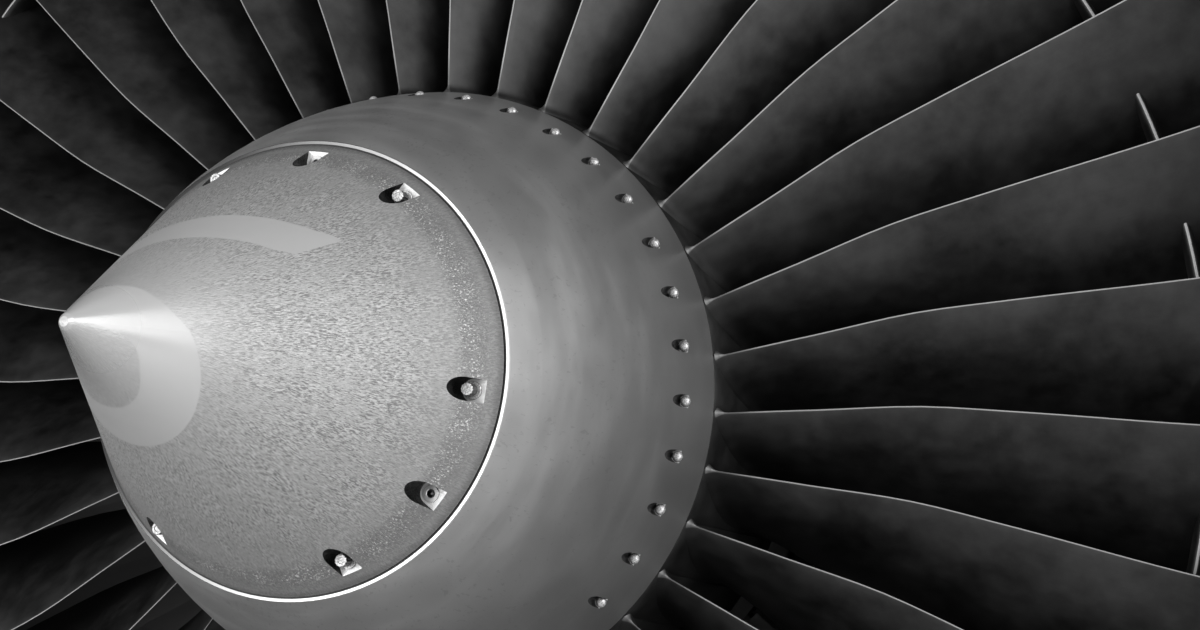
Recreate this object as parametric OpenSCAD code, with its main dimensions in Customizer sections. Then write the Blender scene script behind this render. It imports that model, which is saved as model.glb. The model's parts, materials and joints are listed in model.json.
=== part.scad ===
// Bare high-bypass turbofan: a 36-blade fan with part-span shrouds in front of a two-spool core.
// The shaft lies along Y. Air enters at -Y and leaves at +Y, and +Z is up.
// The origin is the centre of the fan case's front flange. All lengths are in millimetres.

/* [Spinner] */
// Distance from the nose tip to the aft rim of the rear cone
spinner_len = 478; // [440:1:520]
// Length of the rear cone
rear_cone_len = 211; // [180:1:230]
// Radius where the front cone ends
joint_r = 162.5; // [150:0.5:175]
// Radius of the rear cone's aft rim, and of the blade roots' front ends
rim_r = 260; // [250:1:275]
// Wall thickness of both cones
cone_wall = 6; // [4:0.5:9]
// Height of the bare front lip of the rear cone above the front cone
lip_h = 3.5; // [2:0.5:6]
// Clearance between the two cones
cone_gap = 1; // [0.5:0.1:2]
// Radius of the circle of cone bolts
cone_bolt_circle = 146.5; // [140:0.5:150]
// Diameter of the milled pockets over the cone bolts
pocket_d = 16; // [14:0.5:18]
// Diameter of the cone bolts
cone_bolt_d = 6; // [5:0.5:7]
// Radius of the circle of balance screws
balance_circle = 246.5; // [242:0.5:249]
// Diameter of the balance screws' pockets
balance_pocket_d = 10; // [8:0.5:12]
// Diameter of the balance screws
balance_screw_d = 5; // [4:0.5:6]

/* [Fan] */
// Number of fan blades
blade_count = 36; // [30:1:38]
// Radius over the fan blade tips
fan_tip_r = 866.5; // [840:0.5:890]
// Station of the rear cone's aft rim behind the front flange
rim_y = 240; // [220:1:300]
// Distance from that rim to the blades' stacking line
stack_back = 80; // [76:1:86]
// Slope of the inner flow path through the fan
hub_slope = 11; // [8:0.5:13]
// Axial length of a blade platform
platform_len = 170; // [165:1:180]
// Thickness of a blade platform
platform_t = 6; // [4:0.5:8]
// Clearance between neighbouring platforms, and between neighbouring shrouds
blade_gap = 0.4; // [0.2:0.1:1]
// Radius of the part-span shroud
shroud_r = 632; // [600:1:660]
// Radial thickness of the part-span shroud
shroud_t = 10; // [8:0.5:14]
// Clearance over the blade tips
tip_gap = 2; // [1:0.5:4]
// Radius of the fan disk's rim
disk_rim_r = 220; // [216:1:224]
// Radius of the fan disk's bore
disk_bore_r = 100; // [90:1:110]
// Half width of a blade's dovetail at its widest
dovetail_w = 13; // [11:0.5:14]
// Half width of a blade's dovetail at its neck
neck_w = 7.5; // [6:0.5:9]
// Clearance round a dovetail in its slot
slot_gap = 0.3; // [0.2:0.1:0.6]
// Thickness of the spacer bar under each dovetail
spacer_t = 5; // [4:0.5:7]

/* [Fan case] */
// Wall thickness of the fan case
case_wall = 10; // [8:0.5:14]
// Thickness of the liners inside the fan case
liner_t = 12; // [10:0.5:16]
// Radial height of the fan case flanges
flange_h = 35; // [30:1:45]
// Thickness of the fan case flanges
flange_t = 14; // [10:1:18]
// Number of bolts in the front flange
flange_bolts = 36; // [24:1:48]
// Diameter of the holes in the front flange
flange_hole_d = 10.5; // [8:0.5:13]
// Distance from the blades' stacking line to the fan frame
fan_to_frame = 355; // [330:1:380]
// Number of outlet guide vanes
guide_vanes = 70; // [50:1:76]
// Chord of an outlet guide vane
guide_chord = 112; // [100:1:118]
// Number of struts in the fan frame
frame_struts = 12; // [8:1:12]
// Length of the fan frame
frame_len = 205; // [190:1:220]

/* [Core] */
// Radius of the splitter lip between the core and the bypass
splitter_r = 362; // [350:1:370]
// Height of the booster's passage at its first stage
booster_height = 54; // [48:1:58]
// Outer radius of the low pressure shaft
lp_shaft_r = 44; // [40:1:47]
// Wall thickness of the low pressure shaft
lp_shaft_wall = 10; // [7:0.5:14]
// Bore radius of the high pressure rotor
core_bore_r = 50; // [48:0.5:54]
// Radial clearance of the shafts in their bearings
run_gap = 0.05; // [0.02:0.01:0.1]
// Number of high pressure compressor stages
hpc_stages = 9; // [6:1:9]
// Length of the high pressure compressor
hpc_len = 440; // [400:1:460]
// Outer radius of the combustor case
combustor_r = 372; // [350:1:390]
// Number of low pressure turbine stages
lpt_stages = 4; // [3:1:4]
// Inner radius of the turbine rear frame's flow path
plug_r = 270; // [250:1:290]
// Length of the exhaust nozzle
exhaust_len = 230; // [200:1:260]
// Length of the exhaust plug
plug_len = 440; // [380:1:500]
// Number of fuel nozzles
fuel_nozzle_count = 20; // [16:1:24]
// Radius of the bore in the forward mount
forward_bore_r = 25; // [20:0.5:30]
// Radius of the bore in the aft mount's lugs
aft_bore_r = 15; // [12:0.5:18]

/* [Hidden] */
$fn = 144;

// A seated piece keeps this clearance from the piece that carries it
seat = 0.2;
// Pieces joined to one another in a rotor keep this one
fit = 0.1;

// Greys of the photograph, and the usual metals of what it doesn't show
cone_grey = [0.45, 0.45, 0.46];
dark_cone_grey = [0.27, 0.27, 0.28];
titanium = [0.33, 0.34, 0.36];
bare_metal = [0.78, 0.78, 0.8];
steel = [0.5, 0.5, 0.52];
hot_metal = [0.42, 0.36, 0.3];
case_grey = [0.62, 0.64, 0.66];
liner_grey = [0.3, 0.31, 0.33];

function to_deg(length, radius) = length / radius * 180 / PI;
function mix(a, b, t) = a + (b - a) * t;

// Turns a half profile of [radius, station] points about the shaft
module turn(points) rotate([-90, 0, 0]) rotate_extrude() polygon(points);

// Copies its children round the shaft, the first at angle first from +X towards +Z
module around(count, first = 0) {
    for (i = [0:count - 1]) rotate([0, -first - i * 360 / count, 0]) children();
}

// A round bar along the shaft from station y0 to y1, centred at radius r
module axial_bar(r, y0, y1, d) {
    translate([r, y0, 0]) rotate([-90, 0, 0]) cylinder(h = y1 - y0, d = d, $fn = 32);
}

// A cambered blade section whose tail leans clockwise, seen from the front, by the angle lean
module foil(chord, lean, thick) {
    belly = 0.3;
    rotate(-lean) polygon([[0, -chord / 2], [thick, -chord / 5], [thick * 0.9, chord / 6],
        [0, chord / 2], [thick * belly, chord / 6], [thick * belly, -chord / 5]]);
}

// The same with fewer faces, for the small rows inside the core
module small_foil(chord, lean, thick) {
    belly = 0.3;
    rotate(-lean)
        polygon([[0, -chord / 2], [thick, -chord / 8], [0, chord / 2], [thick * belly, -chord / 8]]);
}

// A row of straight blades or vanes from radius r0 to r1, the first at angle first
module blade_row(count, y, chord, lean, thick, r0, r1, first = 0) {
    around(count, first) translate([r0, y, 0]) rotate([0, 90, 0])
        linear_extrude(r1 - r0) foil(chord, lean, thick);
}

// The same for the small rows inside the core
module core_row(count, y, chord, lean, thick, r0, r1, first = 0) {
    around(count, first) translate([r0, y, 0]) rotate([0, 90, 0])
        linear_extrude(r1 - r0) small_foil(chord, lean, thick);
}

// A hexagon head or nut on the axial line at radius r, from station y on
module hexagon(r, y, height, d) {
    translate([r, y, 0]) rotate([-90, 0, 0]) cylinder(h = height, d = d, $fn = 6);
}

// A ring of bolts through two flanges, with a head at the front and a nut behind
module bolt_ring(count, r, y0, y1, d, first = 0) {
    head_h = 0.7 * d;
    around(count, first) {
        axial_bar(r, y0, y1, d);
        for (y = [y0 - head_h, y1]) hexagon(r, y, head_h, 1.8 * d);
    }
}

// Spinner

nose_y = rim_y - spinner_len;
joint_y = rim_y - rear_cone_len;
front_slope = joint_r / (joint_y - nose_y);
nose_tip_r = 5;
tip_y = nose_y + nose_tip_r / front_slope;
// The rear cone goes on from the lip at the front cone's slope and flattens towards its rim
lip_r = joint_r + lip_h;
rear_bend = (lip_r + front_slope * rear_cone_len - rim_r) / pow(rear_cone_len, 2);
function rear_r(t) = lip_r + front_slope * t - rear_bend * t * t;
cone_flange_t = 11;
cone_flange_in = joint_r - 37;
pocket_floor_y = nose_y + (cone_bolt_circle + 9) / front_slope;
cone_bolt_count = 6;
cone_bolt_first = 51.5;
insert_count = 3;
insert_first = cone_bolt_first + 30;
insert_d = cone_bolt_d + 4;
balance_first = 6;
balance_t = rear_cone_len - 38;
balance_floor_y = joint_y + balance_t + 2;
rear_steps = 8;
rear_flange_t = 8;
rear_flange_in = 170;
rear_bolt_circle = 182;
rear_bolt_count = 12;
rear_bolt_d = 8;
rear_bolt_first = 10;
rear_bolt_depth = 14;

// Opens to the nose and outward, as an end mill plunged along the shaft leaves it
module pocket(r, floor_y, d, depth) {
    translate([r, floor_y - depth, 0]) rotate([-90, 0, 0]) cylinder(h = depth, d = d, $fn = 48);
    translate([r, floor_y - depth, -d / 2]) cube([d * 2, depth, d]);
}

module spinner_front_cone() {
    inner_end = joint_y - cone_flange_t - 22;
    inner_nose = nose_y + 45;
    wall_r = cone_wall / cos(atan(front_slope));
    color(cone_grey) difference() {
        turn([[0, tip_y - 3], [nose_tip_r * 0.6, tip_y - 2], [nose_tip_r, tip_y], [joint_r, joint_y],
            [cone_flange_in, joint_y], [cone_flange_in, joint_y - cone_flange_t],
            [cone_flange_in - 4, inner_end],
            [(inner_nose - nose_y) * front_slope - wall_r, inner_nose], [0, inner_nose]]);
        around(cone_bolt_count, cone_bolt_first) {
            pocket(cone_bolt_circle, pocket_floor_y, pocket_d, 60);
            axial_bar(cone_bolt_circle, pocket_floor_y - 1, joint_y + 1, cone_bolt_d + 2 * seat);
        }
        around(insert_count, insert_first) {
            pocket(cone_bolt_circle, pocket_floor_y, pocket_d, 60);
            axial_bar(cone_bolt_circle, pocket_floor_y - 1, joint_y + 1, insert_d + 2 * seat);
        }
    }
}

module spinner_rear_cone() {
    front_y = joint_y + cone_gap;
    inner_front = front_y + cone_flange_t;
    color(dark_cone_grey) difference() {
        turn(concat(
            [[joint_r + 0.5, front_y], [lip_r, front_y]],
            [for (i = [1:rear_steps]) let (t = rear_cone_len * i / rear_steps) [rear_r(t), joint_y + t]],
            [[rear_flange_in, rim_y], [rear_flange_in, rim_y - rear_flange_t],
                [rear_bolt_circle + 12, rim_y - rear_flange_t],
                [rim_r - 14, rim_y - rear_flange_t - 4]],
            [for (i = [rear_steps - 1:-1:1]) let (t = rear_cone_len * i / rear_steps)
                [rear_r(t) - cone_wall * 1.1, joint_y + t]],
            [[joint_r - 6, inner_front], [cone_flange_in, inner_front], [cone_flange_in, front_y]]));
        around(blade_count, balance_first) {
            pocket(balance_circle, balance_floor_y, balance_pocket_d, 22);
            axial_bar(balance_circle, balance_floor_y - 1, balance_floor_y + 10, balance_screw_d + 2 * seat);
        }
        around(cone_bolt_count, cone_bolt_first)
            axial_bar(cone_bolt_circle, front_y - 1, inner_front + 1, cone_bolt_d + 2 * seat);
        around(rear_bolt_count, rear_bolt_first)
            axial_bar(rear_bolt_circle, rim_y - rear_flange_t - 1, rim_y + 1, rear_bolt_d + 2 * seat);
    }
}

// The twelve-point head is two hexagons, one turned by 30 degrees, on a round washer face
module cone_bolts() {
    head_d = 1.55 * cone_bolt_d;
    head_h = 6.5;
    face_h = 1.6;
    seat_y = pocket_floor_y - seat;
    color(bare_metal) around(cone_bolt_count, cone_bolt_first) {
        axial_bar(cone_bolt_circle, seat_y, joint_y + cone_gap + cone_flange_t + 3, cone_bolt_d);
        axial_bar(cone_bolt_circle, seat_y - face_h, seat_y, head_d + 3);
        translate([cone_bolt_circle, seat_y - face_h - head_h + 0.1, 0]) rotate([-90, 0, 0])
            for (turned = [0, 30]) rotate(turned) cylinder(h = head_h, d = head_d, $fn = 6);
    }
}

module rear_cone_bolts() {
    head_y = rim_y - rear_flange_t - seat;
    color(bare_metal) around(rear_bolt_count, rear_bolt_first) {
        axial_bar(rear_bolt_circle, head_y, rim_y + rear_bolt_depth, rear_bolt_d);
        hexagon(rear_bolt_circle, head_y - 6, 6, 1.7 * rear_bolt_d);
    }
}

module jackscrew_inserts() {
    color(steel) around(insert_count, insert_first) difference() {
        axial_bar(cone_bolt_circle, pocket_floor_y, joint_y, insert_d);
        axial_bar(cone_bolt_circle, pocket_floor_y - 1, joint_y + 1, cone_bolt_d);
    }
}

module balance_screws() {
    head_d = balance_pocket_d - 2;
    head_h = 3.5;
    top_d = 5;
    seat_y = balance_floor_y - seat;
    color(bare_metal) around(blade_count, balance_first) difference() {
        union() {
            axial_bar(balance_circle, seat_y, balance_floor_y + 9, balance_screw_d);
            translate([balance_circle, seat_y, 0]) rotate([90, 0, 0])
                cylinder(h = head_h, d1 = head_d, d2 = top_d, $fn = 36);
        }
        hexagon(balance_circle, seat_y - head_h - 1, head_h - 1, 2.6);
    }
}

// Fan

disk_y0 = rim_y;
disk_len = 160;
disk_y1 = disk_y0 + disk_len;
stack_y = rim_y + stack_back;
frame_y0 = stack_y + fan_to_frame;
fan_case_len = frame_y0;
platform_y0 = rim_y + 1;
platform_y1 = platform_y0 + platform_len;
function hub_r(y) = rim_r + (y - platform_y0) * tan(hub_slope);
half_pitch = 180 / blade_count;
dovetail_foot_r = 196;
dovetail_wide_r = 203;
dovetail_neck_r = 216;
slot_floor_r = dovetail_foot_r - spacer_t - 2 * slot_gap;
shank_top_r = rim_r - platform_t - 6;
shank_w = 9;

// Height on the span, then chord, stagger, camber and greatest thickness of the blade there
blade_plan = [
    [0.00, 150, 12, 36, 14],
    [0.15, 156, 27, 32, 12],
    [0.26, 166, 36, 27, 10.5],
    [0.39, 174, 41, 22, 9],
    [0.60, 186, 47, 15, 7.5],
    [0.77, 197, 54, 9, 6],
    [1.00, 207, 62, 4, 4]];
function plan(span, column) = lookup(span, [for (row = blade_plan) [row[0], row[column]]]);
function span_at(r) = (r - rim_r) / (fan_tip_r - rim_r);

// One point of the section at radius r: x is the share of the chord, side is 1 for the convex face
function foil_point(r, x, side) =
    let (s = span_at(r), chord = plan(s, 1), stagger = plan(s, 2),
        rise = chord / 2 * tan(plan(s, 3) / 4),
        half_t = plan(s, 4) / 2 * pow(4 * x * (1 - x), 0.6),
        along = (x - 0.5) * chord,
        out = rise * (4 * x * (1 - x) - 0.4) + side * half_t)
    [along * sin(stagger) + out * cos(stagger), stack_y + along * cos(stagger) - out * sin(stagger)];

// Ring of ten points: leading edge, four on the convex face, trailing edge, four on the hollow face
function foil_ring(r, shares) = concat(
    [foil_point(r, 0, 0)], [for (x = shares) foil_point(r, x, 1)],
    [foil_point(r, 1, 0)], [for (i = [3:-1:0]) foil_point(r, shares[i], -1)]);
function wrap(p, r) = let (a = to_deg(p[0], r)) [r * cos(a), p[1], -r * sin(a)];
function foil_level(r, shares) = [for (p = foil_ring(r, shares)) wrap(p, r)];

// A ring of ten points round a rectangle from y0 to y1, straight across at height r
function block_ring(w, y0, y1) = [[-w * 0.3, y0], [w, y0], [w, mix(y0, y1, 0.3)], [w, mix(y0, y1, 0.7)],
    [w, y1], [w * 0.3, y1], [-w, y1], [-w, mix(y0, y1, 0.7)], [-w, mix(y0, y1, 0.3)], [-w, y0]];
function block_level(r, w, y0, y1) = [for (p = block_ring(w, y0, y1)) [r, p[1], -p[0]]];
function platform_level(drop) = [for (p = block_ring(1, platform_y0, platform_y1))
    let (r = hub_r(p[1]) - drop) wrap([p[0] * (r * half_pitch * PI / 180 - blade_gap / 2), p[1]], r)];
function root_level(shares) = [for (p = foil_ring(rim_r + 8, shares))
    let (r = hub_r(p[1]) + 0.5) wrap(p, r)];

// The shroud wings reach half way to the next blade from the middle of the chord
function wing_level(r) = [for (i = [0:9]) let (p = foil_ring(r, wing_shares)[i],
    reach = r * half_pitch * PI / 180 - blade_gap / 2)
    wrap([i == 2 || i == 3 ? reach : i == 7 || i == 8 ? -reach : p[0], p[1]], r)];

// Radii of the sections between the platform, the shroud and the tip
lower_r = 340;
middle_r = 460;
outer_r = 750;
face_shares = [0.06, 0.32, 0.66, 0.94];
wing_shares = [0.35, 0.38, 0.62, 0.65];
dovetail_y0 = disk_y0 + 3;
dovetail_y1 = disk_y1 - 3;
blade_levels = [
    block_level(dovetail_foot_r, dovetail_w - 4, dovetail_y0, dovetail_y1),
    block_level(dovetail_wide_r, dovetail_w, dovetail_y0, dovetail_y1),
    block_level(dovetail_neck_r, neck_w, dovetail_y0, dovetail_y1),
    block_level(shank_top_r, shank_w, dovetail_y0, dovetail_y1),
    platform_level(platform_t), platform_level(0), root_level(face_shares),
    foil_level(lower_r, face_shares), foil_level(middle_r, face_shares),
    foil_level(shroud_r - shroud_t / 2 - 2, wing_shares), wing_level(shroud_r - shroud_t / 2),
    wing_level(shroud_r + shroud_t / 2), foil_level(shroud_r + shroud_t / 2 + 2, wing_shares),
    foil_level(outer_r, face_shares), foil_level(fan_tip_r, face_shares)];

module blade(levels) {
    n = len(levels[0]);
    last = len(levels) - 1;
    walls = [for (k = [0:last - 1], i = [0:n - 1]) let (j = (i + 1) % n)
        each [[k * n + i, (k + 1) * n + i, (k + 1) * n + j], [k * n + i, (k + 1) * n + j, k * n + j]]];
    bottom = [for (i = [1:n - 2]) [0, i, i + 1]];
    top = [for (i = [1:n - 2]) [last * n, last * n + i + 1, last * n + i]];
    polyhedron([for (level = levels) each level], concat(walls, bottom, top));
}

module fan_blades() {
    color(titanium) around(blade_count) blade(blade_levels);
}

module blade_spacers() {
    color(steel) around(blade_count)
        translate([slot_floor_r + slot_gap, dovetail_y0, -dovetail_w + 6])
            cube([spacer_t, dovetail_y1 - dovetail_y0, 2 * dovetail_w - 12]);
}

// Half of a slot's outline from its floor out past the rim
slot_side = [[slot_floor_r, dovetail_w - 4 + slot_gap], [dovetail_foot_r, dovetail_w - 4 + slot_gap],
    [dovetail_wide_r, dovetail_w + slot_gap], [dovetail_neck_r, neck_w + slot_gap],
    [disk_rim_r + 5, neck_w + 2 * slot_gap]];
module slot_outline() {
    polygon(concat([for (p = slot_side) [p[0], -p[1]]],
        [for (i = [len(slot_side) - 1:-1:0]) slot_side[i]]));
}

disk_flange_r = 182;
module fan_disk() {
    web = 34;
    mid_y = disk_y0 + disk_len / 2;
    hub_w = 110;
    color(steel) difference() {
        turn([[disk_bore_r, mid_y - hub_w / 2], [disk_bore_r + 28, mid_y - hub_w / 2],
            [disk_bore_r + 46, mid_y - web / 2], [disk_flange_r - 22, mid_y - web / 2],
            [disk_flange_r - 8, disk_y0], [disk_rim_r, disk_y0], [disk_rim_r, disk_y1],
            [disk_flange_r - 40, disk_y1], [disk_flange_r - 40, disk_y1 - 12],
            [disk_flange_r - 16, disk_y1 - 14], [disk_flange_r - 16, mid_y + web / 2 + 4],
            [disk_bore_r + 46, mid_y + web / 2],
            [disk_bore_r + 28, mid_y + hub_w / 2], [disk_bore_r, mid_y + hub_w / 2]]);
        around(blade_count) translate([0, disk_y0 - 1, 0]) rotate([-90, 0, 0])
            linear_extrude(disk_len + 2) mirror([0, 1]) slot_outline();
        around(rear_bolt_count, rear_bolt_first)
            axial_bar(rear_bolt_circle, disk_y0 - 1, disk_y0 + rear_bolt_depth + 2, rear_bolt_d + 2 * seat);
    }
}

// Low pressure spool behind the fan

booster_y0 = frame_y0 - 205;
booster_pitch = 70;
booster_stages = 3;
booster_case_r = splitter_r - 12;
drum_r = booster_case_r - booster_height;
bearing_r = 80;
shaft_joint_y = disk_y1 + 60;
roller_bearing_y = frame_y0 - 35;
thrust_bearing_y = shaft_joint_y + 60;
fan_shaft_end = roller_bearing_y + 25;

// Each drum land stays level under its row, and the next one is smaller
function booster_land(i) = drum_r - 10 * i;
function booster_y(i) = booster_y0 + 35 + booster_pitch * i;

module booster_drum() {
    wall = 7;
    land = 30;
    foot_y = disk_y1;
    edge = land - 4;
    color(steel) turn(concat(
        [[disk_flange_r - 40, foot_y], [disk_flange_r, foot_y], [disk_flange_r, foot_y + 12],
            [drum_r - 10, foot_y + 34], [drum_r + 2, platform_y1 + 2], [drum_r, booster_y(0) - land]],
        [for (i = [0:booster_stages - 1], e = [-edge, edge]) [booster_land(i), booster_y(i) + e]],
        [for (i = [booster_stages - 1:-1:0], e = [edge, -edge])
            [booster_land(i) - wall, booster_y(i) + e]],
        [[drum_r - 10 - wall, foot_y + 44], [disk_flange_r - 12, foot_y + 20],
            [disk_flange_r - 12, foot_y + 12], [disk_flange_r - 40, foot_y + 12]]));
}

module booster_blades() {
    color(steel) for (i = [0:booster_stages - 1])
        core_row(30, booster_y(i), 42, 40, 4, booster_land(i) + fit / 2, booster_case_r - 10 * i - 3);
}

module fan_shaft() {
    front_y = disk_y1 + 12 + seat;
    back_y = fan_shaft_end - 90;
    bore = bearing_r - 16;
    color(steel) turn([[disk_flange_r - 40, front_y], [disk_flange_r - 14, front_y],
        [disk_flange_r - 14, disk_y1 + 22], [bearing_r + 6, shaft_joint_y + 20],
        [bearing_r, shaft_joint_y + 30], [bearing_r, fan_shaft_end], [lp_shaft_r + fit, fan_shaft_end],
        [lp_shaft_r + fit, back_y], [bore, back_y - 20], [bore, shaft_joint_y + 30],
        [bearing_r - 10, shaft_joint_y + 8], [disk_flange_r - 40, disk_y1 + 24]]);
}

frame_y1 = frame_y0 + frame_len;
hpc_y0 = frame_y1 - 10;
hpc_y1 = hpc_y0 + hpc_len;
combustor_len = 240;
hpt_space = 60;
combustor_y1 = hpc_y1 + combustor_len;
hpt_y = combustor_y1 + hpt_space;
lpt_y0 = hpt_y + hpt_space;
lpt_pitch = 80;
lpt_y1 = lpt_y0 + lpt_stages * lpt_pitch;
rear_frame_y1 = lpt_y1 + 150;
lp_shaft_y1 = lpt_y1 + 80;
rear_bearing_y = lpt_y1 + 40;
intershaft_y = hpt_y + 40;

module lp_shaft() {
    color(steel) turn([[lp_shaft_r - lp_shaft_wall, fan_shaft_end - 90], [lp_shaft_r, fan_shaft_end - 90],
        [lp_shaft_r, lp_shaft_y1], [lp_shaft_r - lp_shaft_wall, lp_shaft_y1]]);
}

module bearing(y, inner_r, outer_r, half_w, count) {
    race = (outer_r - inner_r) * 0.3;
    ball_d = outer_r - inner_r - 2 * race + 2;
    color(bare_metal) difference() {
        turn([[inner_r, y - half_w], [outer_r, y - half_w], [outer_r, y + half_w], [inner_r, y + half_w]]);
        around(count) axial_bar((inner_r + outer_r) / 2, y - half_w - 1, y - half_w + 4, ball_d);
    }
}

module intershaft_bearing() bearing(intershaft_y, lp_shaft_r, core_bore_r + 14 - run_gap, 12, 18);

hpt_tip = combustor_r - 20;
hpt_hub = hpt_tip - 52;
function lpt_hub(i) = hpt_hub + 8 * i;
function lpt_tip(i) = hpt_tip + 48 + 32 * i;
function lpt_y(i) = lpt_y0 + 50 + lpt_pitch * i;
lpt_land = 18;

module lpt_rotor() {
    cone_foot = lp_shaft_r + fit;
    mid = lpt_y(1) + lpt_land;
    color(hot_metal) turn(concat(
        [for (i = [0:lpt_stages - 1], e = [-1, 1]) [lpt_hub(i), lpt_y(i) + e * lpt_land]],
        [[lpt_hub(lpt_stages - 1) - 12, lpt_y(lpt_stages - 1) + lpt_land], [lpt_hub(1) - 14, mid + 20],
            [cone_foot + 30, lpt_y1 - 20], [cone_foot + 20, lpt_y1], [cone_foot, lpt_y1],
            [cone_foot, lpt_y1 - 60], [cone_foot + 14, lpt_y1 - 44], [lpt_hub(1) - 24, mid],
            [lpt_hub(0) - 14, lpt_y(0) - lpt_land]]));
}

module lpt_blades() {
    color(hot_metal) for (i = [0:lpt_stages - 1])
        core_row(32, lpt_y(i), 34, 35, 5, lpt_hub(i) + fit / 2, lpt_tip(i) - 3);
}

// High pressure spool

hpc_pitch = (hpc_len - 30) / hpc_stages;
function hpc_land(i) = mix(182, 232, i / (hpc_stages - 1));
function hpc_y(i) = hpc_y0 + 20 + hpc_pitch * (i + 0.25);
hpc_case_r = 256;
spigot_r = hpc_case_r + 8;
hpc_land_w = 11;
core_bearing_y = hpc_y0 - 70;
core_stub_r = 72;
hpt_joint_y = hpt_y - 30;

module hpc_front_shaft() {
    flange_y = hpc_y(0) + 4;
    color(steel) turn([[core_bore_r, core_bearing_y - 40], [core_stub_r, core_bearing_y - 40],
        [core_stub_r, core_bearing_y + 40], [hpc_land(0) - 16, hpc_y(0) - hpc_land_w],
        [hpc_land(0) - 16, flange_y], [hpc_land(0) - 30, flange_y], [core_stub_r - 8, core_bearing_y + 56],
        [core_bore_r, core_bearing_y + 40]]);
}

module hpc_drum() {
    wall = 15.8;
    last = hpc_stages - 1;
    cone_r = hpc_land(last) - wall;
    color(steel) turn(concat(
        [[hpc_land(0) - wall, hpc_y(0) - hpc_land_w]],
        [for (i = [0:last], e = [-1, 1]) [hpc_land(i), hpc_y(i) + e * hpc_land_w]],
        [[cone_r, hpc_y(last) + hpc_land_w], [core_bore_r + 40, hpc_y1 + 40], [core_bore_r + 40, hpt_joint_y],
            [core_bore_r + 28, hpt_joint_y], [core_bore_r + 28, hpc_y1 + 32],
            [cone_r - 12, hpc_y(last) - hpc_land_w], [hpc_land(0) - wall, hpc_y(0) + 5]]));
}

module hpc_blades() {
    color(steel) for (i = [0:hpc_stages - 1])
        core_row(20, hpc_y(i), 24, 40, 3, hpc_land(i) + fit / 2, hpc_case_r - 1.5);
}

module hpt_disk() {
    rim = 20;
    web = 8;
    color(hot_metal) turn([[core_bore_r, hpt_joint_y + fit], [core_bore_r + 40, hpt_joint_y + fit],
        [core_bore_r + 50, hpt_y - 12], [hpt_hub - 24, hpt_y - web], [hpt_hub - 14, hpt_y - rim],
        [hpt_hub, hpt_y - rim], [hpt_hub, hpt_y + rim], [hpt_hub - 14, hpt_y + rim],
        [hpt_hub - 24, hpt_y + web], [core_bore_r + 50, hpt_y + 12], [core_bore_r + 30, hpt_y + 26],
        [core_bore_r + 30, hpt_y + 56], [core_bore_r + 14, hpt_y + 56], [core_bore_r + 14, hpt_y + 20],
        [core_bore_r, hpt_y + 16]]);
}

module hpt_blades() {
    color(hot_metal) core_row(36, hpt_y, 36, 30, 7, hpt_hub + fit / 2, hpt_tip - 1.5);
}

// Fan case and its linings

liner_in = fan_tip_r + tip_gap;
case_in = liner_in + liner_t;
case_out = case_in + case_wall;
flange_r = case_in + case_wall + flange_h;
flange_circle = flange_r - 16;
flange_first = 180 / flange_bolts;
shroud_y0 = stack_y - 120;
shroud_y1 = stack_y + 125;

// A plain ring between two radii, half_t to each side of station y
module flange_ring(r0, r1, y, half_t) {
    turn([[r0, y - half_t], [r1, y - half_t], [r1, y + half_t], [r0, y + half_t]]);
}

module flange_holes(y) {
    around(flange_bolts, flange_first) axial_bar(flange_circle, y - 1, y + flange_t + 1, flange_hole_d);
}

module fan_case() {
    back = fan_case_len - flange_t;
    bulge = 10;
    color(case_grey) difference() {
        union() {
            turn([[case_in, 0], [flange_r, 0], [flange_r, flange_t], [case_out + 6, flange_t],
                [case_out, flange_t + 12], [case_out, shroud_y0 - 20], [case_out + bulge, shroud_y0],
                [case_out + bulge, shroud_y1], [case_out, shroud_y1 + 20], [case_out, back - 12],
                [case_out + 6, back], [flange_r, back], [flange_r, fan_case_len], [case_in, fan_case_len]]);
            for (y = [shroud_y0 - 80, shroud_y1 + 115]) flange_ring(case_out - 1, case_out + 22, y, 4);
        }
        flange_holes(0);
        flange_holes(back);
    }
}

module lining(y0, y1) flange_ring(liner_in, case_in - seat, (y0 + y1) / 2, (y1 - y0) / 2);
module front_liner() color(liner_grey) lining(4, shroud_y0 - 1);
module abradable_shroud() color(steel) lining(shroud_y0, shroud_y1);
module rear_liner() color(liner_grey) lining(shroud_y1 + 1, fan_case_len - 4);

module case_bolts() {
    color(bare_metal) bolt_ring(flange_bolts, flange_circle, fan_case_len - flange_t - seat,
        fan_case_len + flange_t + seat, 10, flange_first);
}

guide_y = fan_case_len - 65;
guide_lean = -24;
guide_ring_r = splitter_r + 36;
module guide_vanes() {
    color(titanium)
        blade_row(guide_vanes, guide_y, guide_chord, guide_lean, 8, guide_ring_r + fit, liner_in - 0.9);
}

module guide_vane_ring() {
    color(case_grey) flange_ring(guide_ring_r - 10, guide_ring_r, guide_y, 58);
}

splitter_y = frame_y0 - 220;
splitter_back = frame_y0 + 4.8;
module splitter() {
    outer = guide_ring_r - 10 - seat;
    skin = 8;
    color(case_grey) turn([[splitter_r, splitter_y], [splitter_r + 8, splitter_y + 12],
        [outer, splitter_y + 95], [outer, splitter_back], [outer - skin, splitter_back],
        [outer - skin, splitter_y + 98], [splitter_r + 3, splitter_y + 20],
        [splitter_r - 2, splitter_y + 20], [splitter_r - 2, splitter_y + 4]]);
}

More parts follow.
